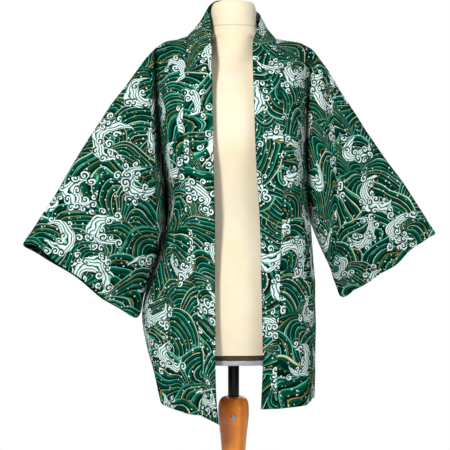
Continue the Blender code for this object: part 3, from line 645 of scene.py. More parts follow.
def reliefOf(points, normals):
    total = np.zeros(len(points))
    for face, facing in (("front", -1), ("rear", 1)):
        share = ease(normals[:, 1] * facing * creaseShape["facing"])
        near = np.flatnonzero(share > 0)
        for crease in zip(*creases[face].values()):
            addCrease(total, points, near, share, crease)
    for rise, kx, ky, kz, start in ripples:
        total += rise * np.sin(points @ np.array([kx, ky, kz]) + start)
    total *= 1 - nearFold(points, pinchReach)
    resting = ease((points[:, 2] - restFree["height"]) / restFree["soft"])
    return np.where(total < 0, total * (1 - resting), total)


def sharedNormals(sheets):  # one normal wherever sheets meet
    points = np.concatenate([s.points for s in sheets])
    own = np.concatenate([s.pointNormals() for s in sheets])
    _, back, count = np.unique(keysOf(points), axis=0, return_inverse=True, return_counts=True)
    back = back.reshape(-1)
    total = np.zeros((back.max() + 1, 3))
    np.add.at(total, back, own)
    for side in "rl":
        under = keysOf(sidePoint(side, jacket["underarm"], "front_y"))
        total[back[(keysOf(points) == under).all(1)]] = (0, 0, -1)
    normals, joined, start = unit(total)[back], count[back] > 1, 0
    for sheet in sheets:
        end = start + len(sheet.points)
        sheet.normals, sheet.joined = normals[start:end], joined[start:end]
        start = end


def nearestOf(points, marks):
    tree = kdtree.KDTree(len(marks))
    for i, mark in enumerate(marks):
        tree.insert(mark, i)
    tree.balance()
    return np.array([tree.find(p)[2] for p in points])


edgeRound = {"seamDip": 0.0007, "edgeDip": 0.0006, "bandDip": 0.0011, "bandSecond": 0.0004,
             "secondWide": 0.0025, "bandFull": 0.0005, "fullFrom": 0.012, "bandInner": 0.0008}


def shellOf(sheet):  # outer and inner points of a sheet's wall
    relief, rim, r = reliefOf(sheet.points, sheet.normals), sheet.rimEdges(), edgeRound
    onRim = np.zeros(len(sheet.points), bool)
    onRim[rim.reshape(-1)] = True
    free = np.flatnonzero(onRim & ~sheet.joined)
    outer = np.full(len(sheet.points), sheet.proud)
    inner = np.full(len(sheet.points), sheet.proud - sheet.thick)
    fromHem = nearestOf(sheet.points, sheet.points[free])
    if sheet.name == "collar":  # the folded band is a little full
        fromSeam = nearestOf(sheet.points, sheet.points[onRim & sheet.joined])
        outer += r["bandFull"] * ease(fromSeam / r["fullFrom"]) * ease(fromHem / r["fullFrom"])
        outer -= r["bandSecond"] * (fromHem < r["secondWide"])
        outer[free] -= r["bandDip"]
        inner[free] += r["bandInner"]
    else:
        outer += jacket["hemProud"] * (1 - ease((fromHem - jacket["hemWidth"]) / jacket["hemSoft"]))
        outer[free] -= r["edgeDip"]
    outer[onRim & sheet.joined] -= r["seamDip"]
    sheet.edge = onRim.astype(float)
    level, steep = shadeFacing
    # painted shade of the deep folds, stored as the shade attribute
    sheet.shade = nearFold(sheet.points, shaded=True) * ease(level - sheet.normals[:, 1] * steep)
    middle = sheet.points + sheet.normals * relief[:, None]
    middle[:, 0] += jacket["centreX"]
    sheet.outer = middle + sheet.normals * outer[:, None]
    sheet.inner = middle + sheet.normals * inner[:, None]
    return rim


def addPiece(name, points, faces, materials, slot=None, node=None):
    mesh = bpy.data.meshes.new(name)
    mesh.from_pydata([tuple(p) for p in points], [], faces)
    for material in materials:
        mesh.materials.append(material)
    mesh.shade_smooth()
    piece = addObject(name, mesh)
    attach(piece, "root")
    if node:
        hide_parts(node)
    return piece


def markPoints(piece, label, values):
    piece.data.attributes.new(label, "FLOAT", "POINT").data.foreach_set("value", values)


def sheetPiece(sheet, name, slot, materials):
    rim = shellOf(sheet)
    count = len(sheet.points)
    walls = np.stack([rim[:, 1], rim[:, 0], rim[:, 0] + count, rim[:, 1] + count], 1)
    faces = np.concatenate([sheet.faces, sheet.faces[:, ::-1] + count, walls])
    place = np.zeros((count, 2))
    place[sheet.faces.reshape(-1)] = sheet.corners.reshape(-1, 2)
    wallPlace = np.repeat(place[rim[:, 1]][:, None], 4, 1)
    corners = np.concatenate([sheet.corners, sheet.corners[:, ::-1], wallPlace])
    inside = np.repeat([0, 1, 0], [len(sheet.faces), len(sheet.faces), len(rim)])
    lists, places, slots = [], [], []
    for face, corner, which in zip(faces.tolist(), corners, inside.tolist()):
        keep = [k for k in range(4) if face[k] != face[k - 1]]
        if len(keep) > 2:
            lists.append([face[k] for k in keep])
            places.append(corner[keep])
            slots.append(which)
    piece = addPiece(name, np.vstack([sheet.outer, sheet.inner]), lists, materials, slot, sheet.name)
    piece.data.polygons.foreach_set("material_index", slots)
    piece.data.uv_layers.new(name="Cloth").data.foreach_set("uv", np.concatenate(places).reshape(-1))
    for label, values in (("edge", sheet.edge), ("shade", sheet.shade)):
        markPoints(piece, label, np.concatenate([values, values]))
    return piece


# node trees written as sums
class Wire:  # a node's output, which can be added to, multiplied and so on
    def __init__(self, wires, socket):
        self.wires, self.socket = wires, socket


class Wires:  # adds nodes to a tree
    def __init__(self, tree):
        self.tree = tree

    def feed(self, socket, value):
        if isinstance(value, Wire):
            self.tree.links.new(value.socket, socket)
        else:
            socket.default_value = value

    def node(self, kind, inputs=None, **values):
        node = self.tree.nodes.new("ShaderNode" + kind)
        for name, value in values.items():
            setattr(node, name, value)
        for name, value in (inputs or {}).items():
            self.feed(node.inputs[name], value)
        return node

    def out(self, node, name=0):
        return Wire(self, node.outputs[name])

    def math(self, operation, *values):
        return self.out(self.node("Math", dict(enumerate(values)), operation=operation))

    def vector(self, operation, *values):
        return self.out(self.node("VectorMath", dict(enumerate(values)), operation=operation))

    def scaled(self, vector, factor):
        return self.out(self.node("VectorMath", {"Vector": vector, "Scale": factor}, operation="SCALE"))

    def smooth(self, value, low, high, start=0.0, end=1.0):
        inputs = {"Value": value, "From Min": low, "From Max": high, "To Min": start, "To Max": end}
        return self.out(self.node("MapRange", inputs, interpolation_type="SMOOTHSTEP"))

    def ridge(self, value, middle, near, far):  # 1 near the middle, falling to 0
        return self.smooth(self.absolute(value - middle), near, far, 1.0, 0.0)

    def split(self, vector):
        node = self.node("SeparateXYZ", {"Vector": vector})
        return [self.out(node, k) for k in range(3)]

    def noise(self, vector, scale, detail=1.0, rough=0.5, want="Fac"):
        inputs = {"Vector": vector, "Scale": scale, "Detail": detail, "Roughness": rough}
        return self.out(self.node("TexNoise", inputs, noise_dimensions="3D"), want)

    def mix(self, a, b, share, kind="FLOAT", first=2):  # first is the number of the kind's first socket
        node = self.node("Mix", {0: share, first: a, first + 1: b}, data_type=kind)
        return self.out(node, first // 2 - 1)

    def colour(self, a, b, share):
        return self.mix(a, b, share, "RGBA", 6)

    def group(self, tree, inputs):
        return self.node("Group", inputs, node_tree=tree)

    def attribute(self, name):
        return self.out(self.node("Attribute", attribute_name=name), "Fac")

    def flatPlace(self):
        return self.out(self.node("UVMap", uv_map="Cloth"))

    def spot(self):
        return self.out(self.node("TexCoord"), "Object")


signs = {"add": "ADD", "sub": "SUBTRACT", "mul": "MULTIPLY", "truediv": "DIVIDE"}
sums = {"fract": "FRACT", "floor": "FLOOR", "absolute": "ABSOLUTE", "sine": "SINE", "cosine": "COSINE",
        "root": "SQRT", "angle": "ARCTAN2", "most": "MAXIMUM", "modulo": "FLOORED_MODULO",
        "over": "GREATER_THAN", "under": "LESS_THAN"}  # over and under give 1 where they hold
for sign, operation in signs.items():
    setattr(Wire, f"__{sign}__", lambda a, b, kind=operation: a.wires.math(kind, a, b))
    setattr(Wire, f"__r{sign}__", lambda a, b, kind=operation: a.wires.math(kind, b, a))
for name, operation in sums.items():
    setattr(Wires, name, lambda w, *values, kind=operation: w.math(kind, *values))


def newGroup(name, inputs, outputs):
    tree = bpy.data.node_groups.new(name, "ShaderNodeTree")
    kinds = {"v": "NodeSocketVector", "f": "NodeSocketFloat", "c": "NodeSocketColor"}
    for way, sockets in (("INPUT", inputs), ("OUTPUT", outputs)):
        for label, kind in sockets.items():
            tree.interface.new_socket(label, in_out=way, socket_type=kinds[kind])
    wires = Wires(tree)
    source, sink = tree.nodes.new("NodeGroupInput"), tree.nodes.new("NodeGroupOutput")
    return wires, {label: Wire(wires, source.outputs[label]) for label in inputs}, sink


def closeGroup(w, sink, **results):
    for label, value in results.items():
        w.feed(sink.inputs[label], value)
    return w.tree


def rgb(code):  # a colour from its screen value
    parts = [int(code[i : i + 2], 16) / 255 for i in (0, 2, 4)]
    return (*[p / 12.92 if p < 0.04045 else ((p + 0.055) / 1.055) ** 2.4 for p in parts], 1.0)


# the wave print, in metres of flat cloth
waveInks = {"dark": "00110d", "deep": "00221b", "mid": "013529", "teal": "007a5e", "light": "62c8aa",
            "gold": "a3924a", "cream": "dfe6c6", "white": "e9f4f0", "pale": "7fc4c0"}
# stir: the scale, amount and start of the noise that bends a drawing
swellSize = {"across": 0.146, "down": 0.045, "highest": 0.080, "strayAcross": 0.10, "strayDown": 0.9,
             "radius": 0.40, "radiusMore": 0.09, "turn": 0.35, "turnMore": 1.1, "seed": 11.0,
             "rows": (3.0, 2.0, 1.0, 0.0), "stir": ((7.0, 0.105, 1.7), (20.0, 0.022, 5.3))}
bandSize = {"fewest": 9.0, "more": 5.0, "cloud": 45.0, "line": 0.87, "half": 0.040, "halfMore": 0.10,
            "slow": 0.4, "lineShare": 0.9, "gleam": 0.60, "gleamHalf": (0.01, 0.09), "gleamSkip": 0.62,
            "strokes": 3.0, "strokeStir": 0.8, "strokeHalf": (0.03, 0.20), "strokeShare": 0.5,
            "crestSkip": 0.45}
# the two levels between which each ink of a band comes in
bandLevels = {"mid": (0.1, 0.7), "teal": (0.35, 0.9), "lit": (0.35, 0.80), "litCloud": (0.25, 0.6),
              "stroke": (0.15, 0.40), "strokeDepth": (0.2, 0.5), "groove": (0.02, 0.26),
              "gleamCloud": (0.42, 0.66), "gleamDepth": (0.3, 0.7), "cream": (0.36, 0.5),
              "light": (0.42, 0.52), "lineDepth": (0.15, 0.45), "shadow": (0.93, 0.97),
              "pale": (0.45, 0.6), "crest": (0.984, 0.992)}
foamSize = {"across": 0.122, "down": 0.100, "strayAcross": 0.26, "strayDown": 0.22, "seed": 77.0,
            "size": 0.80, "sizeMore": 0.45, "arc": 0.025, "arcMore": 0.009, "arcEnd": 2.3,
            "half": 0.0118, "streak": 0.0056, "alongShare": 0.45, "cloudShare": 2.6,
            "stir": (25.0, 0.030, 9.1), "pale": (0.50, 0.64), "teal": (0.68, 0.76),
            "gapStart": (0.80, 0.86), "gapEnd": (0.95, 1.0)}
curlSize = {"cell": 0.0172, "stray": 0.8, "reach": 0.026, "gap": 0.003, "arcEnd": 2.8, "skip": 0.24,
            "radius": 0.0058, "radiusMore": 0.0034, "rim": 0.0007, "stir": (60.0, 0.007, 3.9),
            "turn": 0.0062, "line": 0.52, "eye": 0.0011, "pale": (0.30, 0.5)}
spraySize = {"cell": 0.0095, "drop": 0.09, "dropMore": 0.10, "reach": 0.036, "skip": 0.45, "gold": 0.6}


# a chance times an odd number, less its whole part, gives another chance
def brickCell(w, x, row, size):  # a cell's middle in a brick layout, four chances for it, and -1 or 1
    odd = w.modulo(row, 2.0)
    cell = w.floor(x / size["across"] - 0.5 * odd)
    key = w.out(w.node("CombineXYZ", {"X": cell, "Y": row, "Z": size["seed"]}))
    a, b, c = w.split(w.out(w.node("TexWhiteNoise", {"Vector": key}, noise_dimensions="3D"), "Color"))
    d = w.fract(a * 37.7)
    return cell + 0.5 + 0.5 * odd, a, b, c, d, w.over(d, 0.5) * 2.0 - 1.0


def swellGroup():  # one row of overlapping swells; depth runs from 0 at a swell's root to 1 at its crest
    outputs = {"Depth": "f", "Cover": "f", "Chance": "f"}
    w, given, sink = newGroup("Swell row", {"Place": "v", "Row": "f"}, outputs)
    s = swellSize
    x, y, _ = w.split(given["Place"])
    row = w.floor((y - s["highest"]) / s["down"]) + given["Row"]
    middle, a, b, c, d, side = brickCell(w, x, row, s)
    radius = s["across"] * (s["radius"] + s["radiusMore"] * a)
    cx = (middle + (b - 0.5) * s["strayAcross"]) * s["across"]
    cy = (row + (c - 0.5) * s["strayDown"]) * s["down"]
    turn = side * (s["turn"] + s["turnMore"] * w.fract(d * 7.3)) - math.pi / 2
    armX, armY = radius * w.cosine(turn), radius * w.sine(turn)
    qx, qy = x - cx - armX, y - cy - armY
    dot = (qx * armX + qy * armY) * -1.0 / radius
    depth = (qx * qx + qy * qy) / (2.0 * w.most(dot, 1e-5)) / radius
    cover = w.under(depth, 1.0) * w.over(dot, 0.0)
    return closeGroup(w, sink, Depth=depth, Cover=cover, Chance=w.fract(a * 13.7 + b))


def foamGroup():  # the nearest foam's arc: how far from its line, and how far along it
    w, given, sink = newGroup("Foam arc", {"Place": "v"}, {"Off": "f", "Along": "f"})
    s = foamSize
    x, y, _ = w.split(given["Place"])
    row = w.floor(y / s["down"])
    middle, a, b, c, d, flip = brickCell(w, x, row, s)
    qx = (x - (middle + (a - 0.5) * s["strayAcross"]) * s["across"]) * flip
    qy = y - (row + 0.5 + (b - 0.5) * s["strayDown"]) * s["down"]
    turn = c * 2.0 * math.pi
    cosine, sine = w.cosine(turn), w.sine(turn)
    px, py = qx * cosine + qy * sine, qy * cosine - qx * sine
    reach = w.root(px * px + py * py) / (s["size"] + s["sizeMore"] * w.fract(a * 9.3))
    off = reach - (s["arc"] + s["arcMore"] * w.fract(d * 5.1))
    return closeGroup(w, sink, Off=off, Along=w.angle(py, px))


def shifted(w, place, *fields):  # place, pushed about by noise of a scale and an amount
    total = place
    for scale, amount, at in fields:
        where = w.vector("ADD", place, (at, at * 0.7, at * 0.3))
        field = w.vector("SUBTRACT", w.noise(where, scale, 0.0, want="Color"), (0.5, 0.5, 0.5))
        total = w.vector("ADD", total, w.scaled(field, amount))
    return total


def dotCells(w, place, cell, stray):
    inputs = {"Vector": place, "Scale": 1 / cell, "Randomness": stray}
    node = w.node("TexVoronoi", inputs, voronoi_dimensions="2D")
    return node, w.out(node, "Position"), w.split(w.out(node, "Color"))


def swellInk(w, place, ink):  # overlapping swells, each filled with bands that follow its crest
    s, swell = bandSize, swellGroup()
    bent = shifted(w, place, *swellSize["stir"])
    depth = None
    for nearness in swellSize["rows"]:  # the nearer rows are laid over the farther ones
        row = w.group(swell, {"Place": bent, "Row": nearness + 1.0})
        rowDepth, rowChance, here = (w.out(row, label) for label in ("Depth", "Chance", "Cover"))
        if depth is None:
            depth, chance, cover = rowDepth, rowChance, here
        else:
            depth, chance = w.mix(depth, rowDepth, here), w.mix(chance, rowChance, here)
            cover = w.most(cover, here)
    band = depth * (s["fewest"] + w.floor(chance * s["more"]))
    number, within = w.floor(band), w.fract(band)

    def level(value, name):
        return w.smooth(value, *bandLevels[name])

    def bandChance(step, turn):  # the same along a band's whole length
        return w.fract(number * step + chance * turn)

    slow = w.noise(place, s["cloud"], 1.0)
    tone = w.fract(number * 0.618 + chance)
    body = w.colour(ink["deep"], ink["mid"], level(tone, "mid"))
    lit = w.colour(ink["mid"], ink["teal"], level(tone, "teal"))
    base = w.colour(body, lit, level(within, "lit") * level(slow, "litCloud"))
    fine = w.fract(band * s["strokes"] + slow * s["strokeStir"])  # brush strokes inside each band
    stroke = w.ridge(fine, 0.5, *s["strokeHalf"]) * level(within, "stroke")
    base = w.colour(base, ink["teal"], stroke * level(depth, "strokeDepth") * s["strokeShare"])
    base = w.colour(ink["dark"], base, level(within, "groove"))
    line = w.under(w.absolute(within - s["line"]), s["half"] + s["halfMore"] * (slow - s["slow"]))
    gleam = w.ridge(within, s["gleam"], *s["gleamHalf"]) * w.over(bandChance(0.53, 7.0), s["gleamSkip"])
    base = w.colour(base, ink["light"], gleam * level(slow, "gleamCloud") * level(depth, "gleamDepth"))
    lineInk = w.colour(ink["gold"], ink["cream"], level(bandChance(0.37, 3.0), "cream"))
    lineInk = w.colour(lineInk, ink["light"], level(bandChance(0.71, 5.0), "light"))
    base = w.colour(base, lineInk, line * level(depth, "lineDepth") * s["lineShare"])
    base = w.colour(base, ink["dark"], level(within, "shadow"))
    crestInk = w.colour(ink["cream"], ink["pale"], level(w.fract(chance * 17.0), "pale"))
    crest = level(depth, "crest") * w.over(w.fract(chance * 29.0), s["crestSkip"])
    return w.colour(ink["dark"], w.colour(base, crestInk, crest), cover), slow


def printGroup():
    w, given, sink = newGroup("Wave print", {"Place": "v"}, {"Color": "c"})
    ink, place = {name: rgb(code) for name, code in waveInks.items()}, given["Place"]
    s, foam = foamSize, foamGroup()
    base, slow = swellInk(w, place, ink)

    def arcAt(where, reach):  # how far where is off a foam's line and along it, and the line's taper
        arc = w.group(foam, {"Place": where})
        off, along = w.out(arc, "Off"), w.out(arc, "Along")
        share = along / reach
        return off, along, w.most(1.0 - share * share, 0.0)

    # foam: a streaked arc
    off, along, taper = arcAt(shifted(w, place, s["stir"]), s["arcEnd"])
    body = w.under(w.absolute(off), s["half"] * taper)
    streak = w.fract(off / s["streak"] + along * s["alongShare"] + slow * s["cloudShare"])
    foamInk = w.colour(ink["white"], ink["pale"], w.smooth(streak, *s["pale"]))
    foamInk = w.colour(foamInk, ink["teal"], w.smooth(streak, *s["teal"]))
    gap = w.smooth(streak, *s["gapStart"]) * (1.0 - w.smooth(streak, *s["gapEnd"]))
    base = w.colour(base, w.colour(foamInk, ink["dark"], gap), body)

    # whole curls, wherever a curl's middle lies near the arc
    s, stirred = curlSize, shifted(w, place, curlSize["stir"])
    _, middle, (r1, r2, r3) = dotCells(w, stirred, s["cell"], s["stray"])
    off, _, taper = arcAt(middle, s["arcEnd"])
    beside = w.under(w.absolute(off), s["reach"] * taper) * w.over(w.absolute(off), s["gap"])
    chosen = beside * w.over(r1, s["skip"])
    qx, qy, _ = w.split(w.vector("SUBTRACT", stirred, middle))
    reach = w.root(qx * qx + qy * qy)
    spin = w.angle(qy, qx) * (w.over(r2, 0.5) * 2.0 - 1.0) / (2 * math.pi)
    spiral = w.fract(spin + r3 - reach / s["turn"])
    radius = s["radius"] + s["radiusMore"] * w.fract(r1 * 9.1)
    white = w.most(w.under(spiral, s["line"]), w.under(reach, s["eye"]))
    curl = chosen * w.under(reach, radius)
    curlInk = w.colour(ink["white"], ink["pale"], w.smooth(spiral, *s["pale"]))
    curlInk = w.colour(ink["mid"], curlInk, white)
    base = w.colour(base, ink["deep"], chosen * w.under(reach, radius + s["rim"]))
    base = w.colour(base, curlInk, curl)

    # spray: white and gold drops near the foam
    s = spraySize
    drops, middle, (r1, r2, r3) = dotCells(w, place, s["cell"], 1.0)
    near = w.under(w.absolute(w.out(w.group(foam, {"Place": middle}), "Off")), s["reach"])
    drop = w.under(w.out(drops, "Distance"), s["drop"] + s["dropMore"] * r1) * w.over(r2, s["skip"]) * near
    free = (1.0 - curl) * (1.0 - body)
    base = w.colour(base, w.colour(ink["white"], ink["gold"], w.over(r3, s["gold"])), drop * free)
    return closeGroup(w, sink, Color=base)


weaveSize = {"thin": 2200.0, "wide": 40.0, "start": (3.0, 2.1, 0.9), "slub": 0.8, "slubShade": 0.35,
             "overShade": 0.06}
knitSize = {"tall": 1.3, "lean": 1.2, "rib": 0.6, "vee": 0.4}


def weaveGroup():  # plain weave: over and under threads, with thin and thick ones
    w, given, sink = newGroup("Plain weave", {"Place": "v", "Thread": "f"}, {"Height": "f", "Shade": "f"})
    x, y, _ = w.split(given["Place"])
    over = w.sine(x / given["Thread"] * math.pi) * w.sine(y / given["Thread"] * math.pi)
    s = weaveSize
    thin, wide = s["thin"], s["wide"]
    slubX = w.noise(w.vector("MULTIPLY", given["Place"], (thin, wide, 1.0)), 1.0, 0.0)
    slubY = w.vector("ADD", w.vector("MULTIPLY", given["Place"], (wide, thin, 1.0)), s["start"])
    slub = slubX + w.noise(slubY, 1.0, 0.0) - 1.0
    shade = 1.0 + slub * s["slubShade"] + over * s["overShade"]
    return closeGroup(w, sink, Height=over * 0.5 + 0.5 + slub * s["slub"], Shade=shade)


def knitGroup():  # fine jersey: columns of small vees
    w, given, sink = newGroup("Jersey knit", {"Place": "v", "Stitch": "f"}, {"Height": "f"})
    turn, up, _ = w.split(given["Place"])
    s, across, down = knitSize, turn / given["Stitch"], up / given["Stitch"] * knitSize["tall"]
    within = w.absolute(w.fract(across) - 0.5)
    rib, vee = w.sine(within * math.pi * 2.0), w.sine((down + within * s["lean"]) * math.pi * 2.0)
    return closeGroup(w, sink, Height=rib * s["rib"] + vee * s["vee"])


def grainGroup():  # noise drawn out along the axes, and the share of it between two levels
    inputs = {"Place": "v", "Scale": "v", "Detail": "f", "Rough": "f", "Low": "f", "High": "f"}
    w, given, sink = newGroup("Grain", inputs, {"Grain": "f", "Mask": "f"})
    drawn = w.vector("MULTIPLY", given["Place"], given["Scale"])
    grain = w.noise(drawn, 1.0, given["Detail"], given["Rough"])
    return closeGroup(w, sink, Grain=grain, Mask=w.smooth(grain, given["Low"], given["High"]))


def seamShadeGroup():  # painted shade beside seams and edges, standing in for the shade in their grooves
    w, given, sink = newGroup("Seam shade", {"Edge": "f", "Start": "f", "Amount": "f"}, {"Mask": "f"})
    return closeGroup(w, sink, Mask=w.smooth(given["Edge"], given["Start"], 1.0) * given["Amount"])


printed, weave, knit, grain, seamShading = printGroup(), weaveGroup(), knitGroup(), grainGroup(), seamShadeGroup()


def newMaterial(name, settings):
    material = bpy.data.materials.new(name)
    material.use_nodes = True
    shader = material.node_tree.nodes["Principled BSDF"]
    for label, value in settings.items():
        shader.inputs[label].default_value = value
    return material, Wires(material.node_tree), shader


def bump(w, shader, height, strength, distance):
    node = w.node("Bump", {"Height": height, "Strength": strength, "Distance": distance})
    w.feed(shader.inputs["Normal"], w.out(node))


clothFinish = {"thread": 0.00045, "bump": 0.35, "relief": 0.0003,
               "seamStart": 0.1, "seamDark": 0.55, "foldReach": 0.85, "foldDark": 0.94,
               "insideInk": "04241c", "insideDull": 0.78, "insideShade": 0.40,
               "shader": {"Roughness": 0.85, "Specular IOR Level": 0.03}}


def clothMaterial(name, inside=False):
    finish = clothFinish
    material, w, shader = newMaterial(name, finish["shader"])
    place = w.flatPlace()
    threads = w.group(weave, {"Place": place, "Thread": finish["thread"]})
    # painted shade along the seams and the free edges
    start, amount = finish["seamStart"], finish["seamDark"]
    seam = w.group(seamShading, {"Edge": w.attribute("edge"), "Start": start, "Amount": amount})
    shade = w.out(threads, "Shade") * (1.0 - w.out(seam))
    # painted shade in the deep folds
    fold = w.smooth(w.attribute("shade"), 0.0, finish["foldReach"])
    shade = shade * (1.0 - fold * finish["foldDark"])
    colour = w.out(w.group(printed, {"Place": place}))
    # the inside: a dark lining colour over the print, darkened further by painted shade
    if inside:
        colour = w.colour(colour, rgb(finish["insideInk"]), finish["insideDull"])
        shade = shade * finish["insideShade"]
    w.feed(shader.inputs["Base Color"], w.scaled(colour, shade))
    bump(w, shader, w.out(threads), finish["bump"], finish["relief"])
    return material


def even(scale):
    return (scale,) * 3


# grains: scale along each axis, detail and roughness of the noise, then the levels of its mask
# colours: the first is the ground, and each other one is laid on it by a mask, up to its share
finishes = {
    "cream_jersey": {
        "shader": {"Roughness": 0.88, "Specular IOR Level": 0.25,
                   "Sheen Weight": 0.15, "Sheen Roughness": 0.5},
        "grains": {"blot": (even(11), 3.0, 0.6, 0.35, 0.75), "speck": (even(420), 1.0, 0.5, 0.66, 0.78)},
        # the last colour is painted shade along the neck band's seam
        "colours": ("fbeed4", ("f6e6c2", "blot", 1.0), ("cdbf9a", "speck", 0.25), ("a08c62", "edge", 1.0)),
        "bump": ("stitches", 0.25, 0.0004), "stitch": 0.0011, "edgeDark": 0.32,
    },
    # binding tape, its dark colour partly painted shade of the gap under the cover
    "dark_binding": {
        "shader": {"Roughness": 0.8, "Specular IOR Level": 0.25, "Sheen Weight": 0.2, "Sheen Roughness": 0.4},
        "grains": {"cloud": (even(60), 3.0, 0.5)},
        "colours": ("2f2a18", ("55502f", "ribbed", 1.0)), "bump": ("ribs", 0.3, 0.0005),
        "ribs": {"round": 900.0, "up": 3000.0, "sway": 1.5, "share": 0.08, "levels": (0.3, 0.75)},
    },
    "pale_board": {
        "shader": {"Roughness": 0.55},
        "grains": {"fibres": ((40, 260, 260), 4.0, 0.6, 0.3, 0.8),
                   "scuffs": (even(55), 4.0, 0.7, 0.56, 0.72)},
        "colours": ("b9b6c4", ("9a96a8", "fibres", 1.0), ("dedce2", "scuffs", 0.5)),
        "rough": ("fibres", 0.2, 0.9, 0.45, 0.7), "bump": ("fibres", 0.2, 0.0004),
    },
    "black_tube": {
        "shader": {"Metallic": 0.0, "Coat Weight": 0.35, "Coat Roughness": 0.08},
        "grains": {"draw": ((300, 300, 6), 3.0, 0.6), "scratch": ((900, 900, 40), 2.0, 0.5, 0.66, 0.72)},
        "colours": ("141417", ("3a3b40", "scratch", 0.6)),
        "rough": ("draw", 0.25, 0.8, 0.16, 0.34), "bump": ("draw", 0.05, 0.0003),
    },
    "orange_wood": {
        "shader": {"Coat Weight": 0.55, "Coat Roughness": 0.07, "Specular IOR Level": 0.45},
        "grains": {"blush": (even(12), 2.0, 0.5, 0.35, 0.65),
                   "pores": ((900, 900, 28), 2.0, 0.6, 0.60, 0.72)},
        "colours": ("ec8c1e", ("dc6c0c", "blush", 1.0), ("a04408", "rings", 0.38), ("843608", "pores", 0.45)),
        "rough": ("pores", 0.3, 0.8, 0.28, 0.42), "bump": ("pores", 0.06, 0.0003),
        "rings": {"long": 0.09, "scale": 14.0, "stir": 0.03, "count": 190.0, "x": 0.9, "y": 0.4, "up": 40.0,
                  "levels": (0.1, 1.0)},
    },
    "screw_steel": {
        "shader": {"Metallic": 1.0}, "grains": {"brushed": (even(900), 3.0, 0.6, 0.3, 0.7)},
        "colours": ("8d8e90", ("c9cacc", "brushed", 1.0)),
        "rough": ("brushed", 0.2, 0.8, 0.28, 0.48), "bump": ("brushed", 0.08, 0.0002),
    },
    "green_thread": {
        "shader": {"Roughness": 0.6, "Sheen Weight": 0.2, "Sheen Roughness": 0.4},
        "grains": {"twist": (even(1800), 2.0, 0.5, 0.3, 0.7)},
        "colours": ("0a4a3c", ("2c8a70", "twist", 1.0)), "bump": ("twist", 0.2, 0.0002),
    },
}


def jerseyOwn(w, spot, own, heights, masks):
    heights["stitches"] = w.out(w.group(knit, {"Place": w.flatPlace(), "Stitch": own["stitch"]}))
    # painted shade along the neck band's seam
    given = {"Edge": w.attribute("edge"), "Start": 0.0, "Amount": own["edgeDark"]}
    masks["edge"] = w.out(w.group(seamShading, given))


def bindingOwn(w, spot, own, heights, masks):
    s, (x, y, z) = own["ribs"], w.split(spot)
    heights["ribs"] = w.sine(w.angle(y, x) * s["round"] + w.sine(z * s["up"]) * s["sway"])
    masks["ribbed"] = w.smooth(heights["cloud"] + heights["ribs"] * s["share"], *s["levels"])


def woodOwn(w, spot, own, heights, masks):  # growth rings along the grain
    s, long = own["rings"], w.vector("MULTIPLY", spot, (1.0, 1.0, own["rings"]["long"]))
    stirred = w.scaled(w.noise(long, s["scale"], 2.0, want="Color"), s["stir"])
    x, y, z = w.split(w.vector("ADD", long, stirred))
    rings = w.sine((x * s["x"] + y * s["y"]) * s["count"] + z * s["up"])
    masks["rings"] = w.smooth(rings, *s["levels"])


def makeFinish(name, addOwn=None):
    finish = finishes[name]
    material, w, shader = newMaterial(name, finish["shader"])
    spot, heights, masks = w.spot(), {}, {}
    for label, numbers in finish["grains"].items():
        inputs = dict(zip(("Scale", "Detail", "Rough", "Low", "High"), numbers))
        node = w.group(grain, {"Place": spot, **inputs})
        heights[label], masks[label] = w.out(node, "Grain"), w.out(node, "Mask")
    if addOwn:
        addOwn(w, spot, finish, heights, masks)
    colour, *layers = finish["colours"]
    colour = rgb(colour)
    for code, mask, share in layers:
        colour = w.colour(colour, rgb(code), masks[mask] * share)
    w.feed(shader.inputs["Base Color"], colour)
    if "rough" in finish:
        label, *levels = finish["rough"]
        w.feed(shader.inputs["Roughness"], w.smooth(heights[label], *levels))
    label, strength, distance = finish["bump"]
    bump(w, shader, heights[label], strength, distance)
    return material


clothFace, clothBack = clothMaterial("wave_print"), clothMaterial("wave_print_inside", inside=True)
bandFace = clothMaterial("wave_print_band")
jersey, bindingAndShade = makeFinish("cream_jersey", jerseyOwn), makeFinish("dark_binding", bindingOwn)
board, black = makeFinish("pale_board"), makeFinish("black_tube")
wood, steel = makeFinish("orange_wood", woodOwn), makeFinish("screw_steel")
thread = makeFinish("green_thread")
print("materials made")

sheets = {sheet.name: sheet for sheet in jacketSheets()}
sharedNormals(list(sheets.values()))
for name, sheet in sheets.items():
    slotName, faces = "wave_print", [clothFace, clothBack]
    if name == "collar":
        slotName, faces = "wave_print_band", [bandFace, bandFace]
    sheetPiece(sheet, "jacket_" + name, slotName, faces)
    print("jacket", name, "made,", len(sheet.faces), "cells")


# hem and cuff stitches: rows are counted from the free edge of each grid
stitchSize = {"pitch": 0.0052, "half": 0.0014, "radius": 0.00034, "lift": 0.00012, "sides": 6,
              "rings": ((-0.92, 0.55), (-0.45, 1.0), (0.45, 1.0), (0.92, 0.55)),
              "rows": {"back": -5, "front": -5, "sleeve": -4}}


def stitchLine(sheet, grid, row):  # outer points and normals along one row of a sheet's grid
    at = {tuple(k): i for i, k in enumerate(keysOf(sheet.points))}
    ids = [at[tuple(k)] for k in keysOf(grid[row])]
    return sheet.outer[ids], sheet.normals[ids]


def stitchesAlong(points, normals):
    s, shapes = stitchSize, []
    run = np.concatenate([[0], np.cumsum(np.linalg.norm(np.diff(points, axis=0), axis=1))])
    across, up = (values[:, None] for values in circle(s["sides"]))

    def read(rows, where):
        return np.array([np.interp(where, run, rows[:, k]) for k in range(3)])

    for middle in np.arange(s["pitch"], run[-1] - s["pitch"], s["pitch"]):
        place, out = read(points, middle), unit(read(normals, middle))
        ahead = unit(read(points, middle + s["half"]) - place)
        ring = across * unit(np.cross(ahead, out)) + up * out
        place = place + out * s["lift"]
        shapes.append([place + ahead * s["half"] * share + ring * s["radius"] * wide
                       for share, wide in s["rings"]])
    return shapes


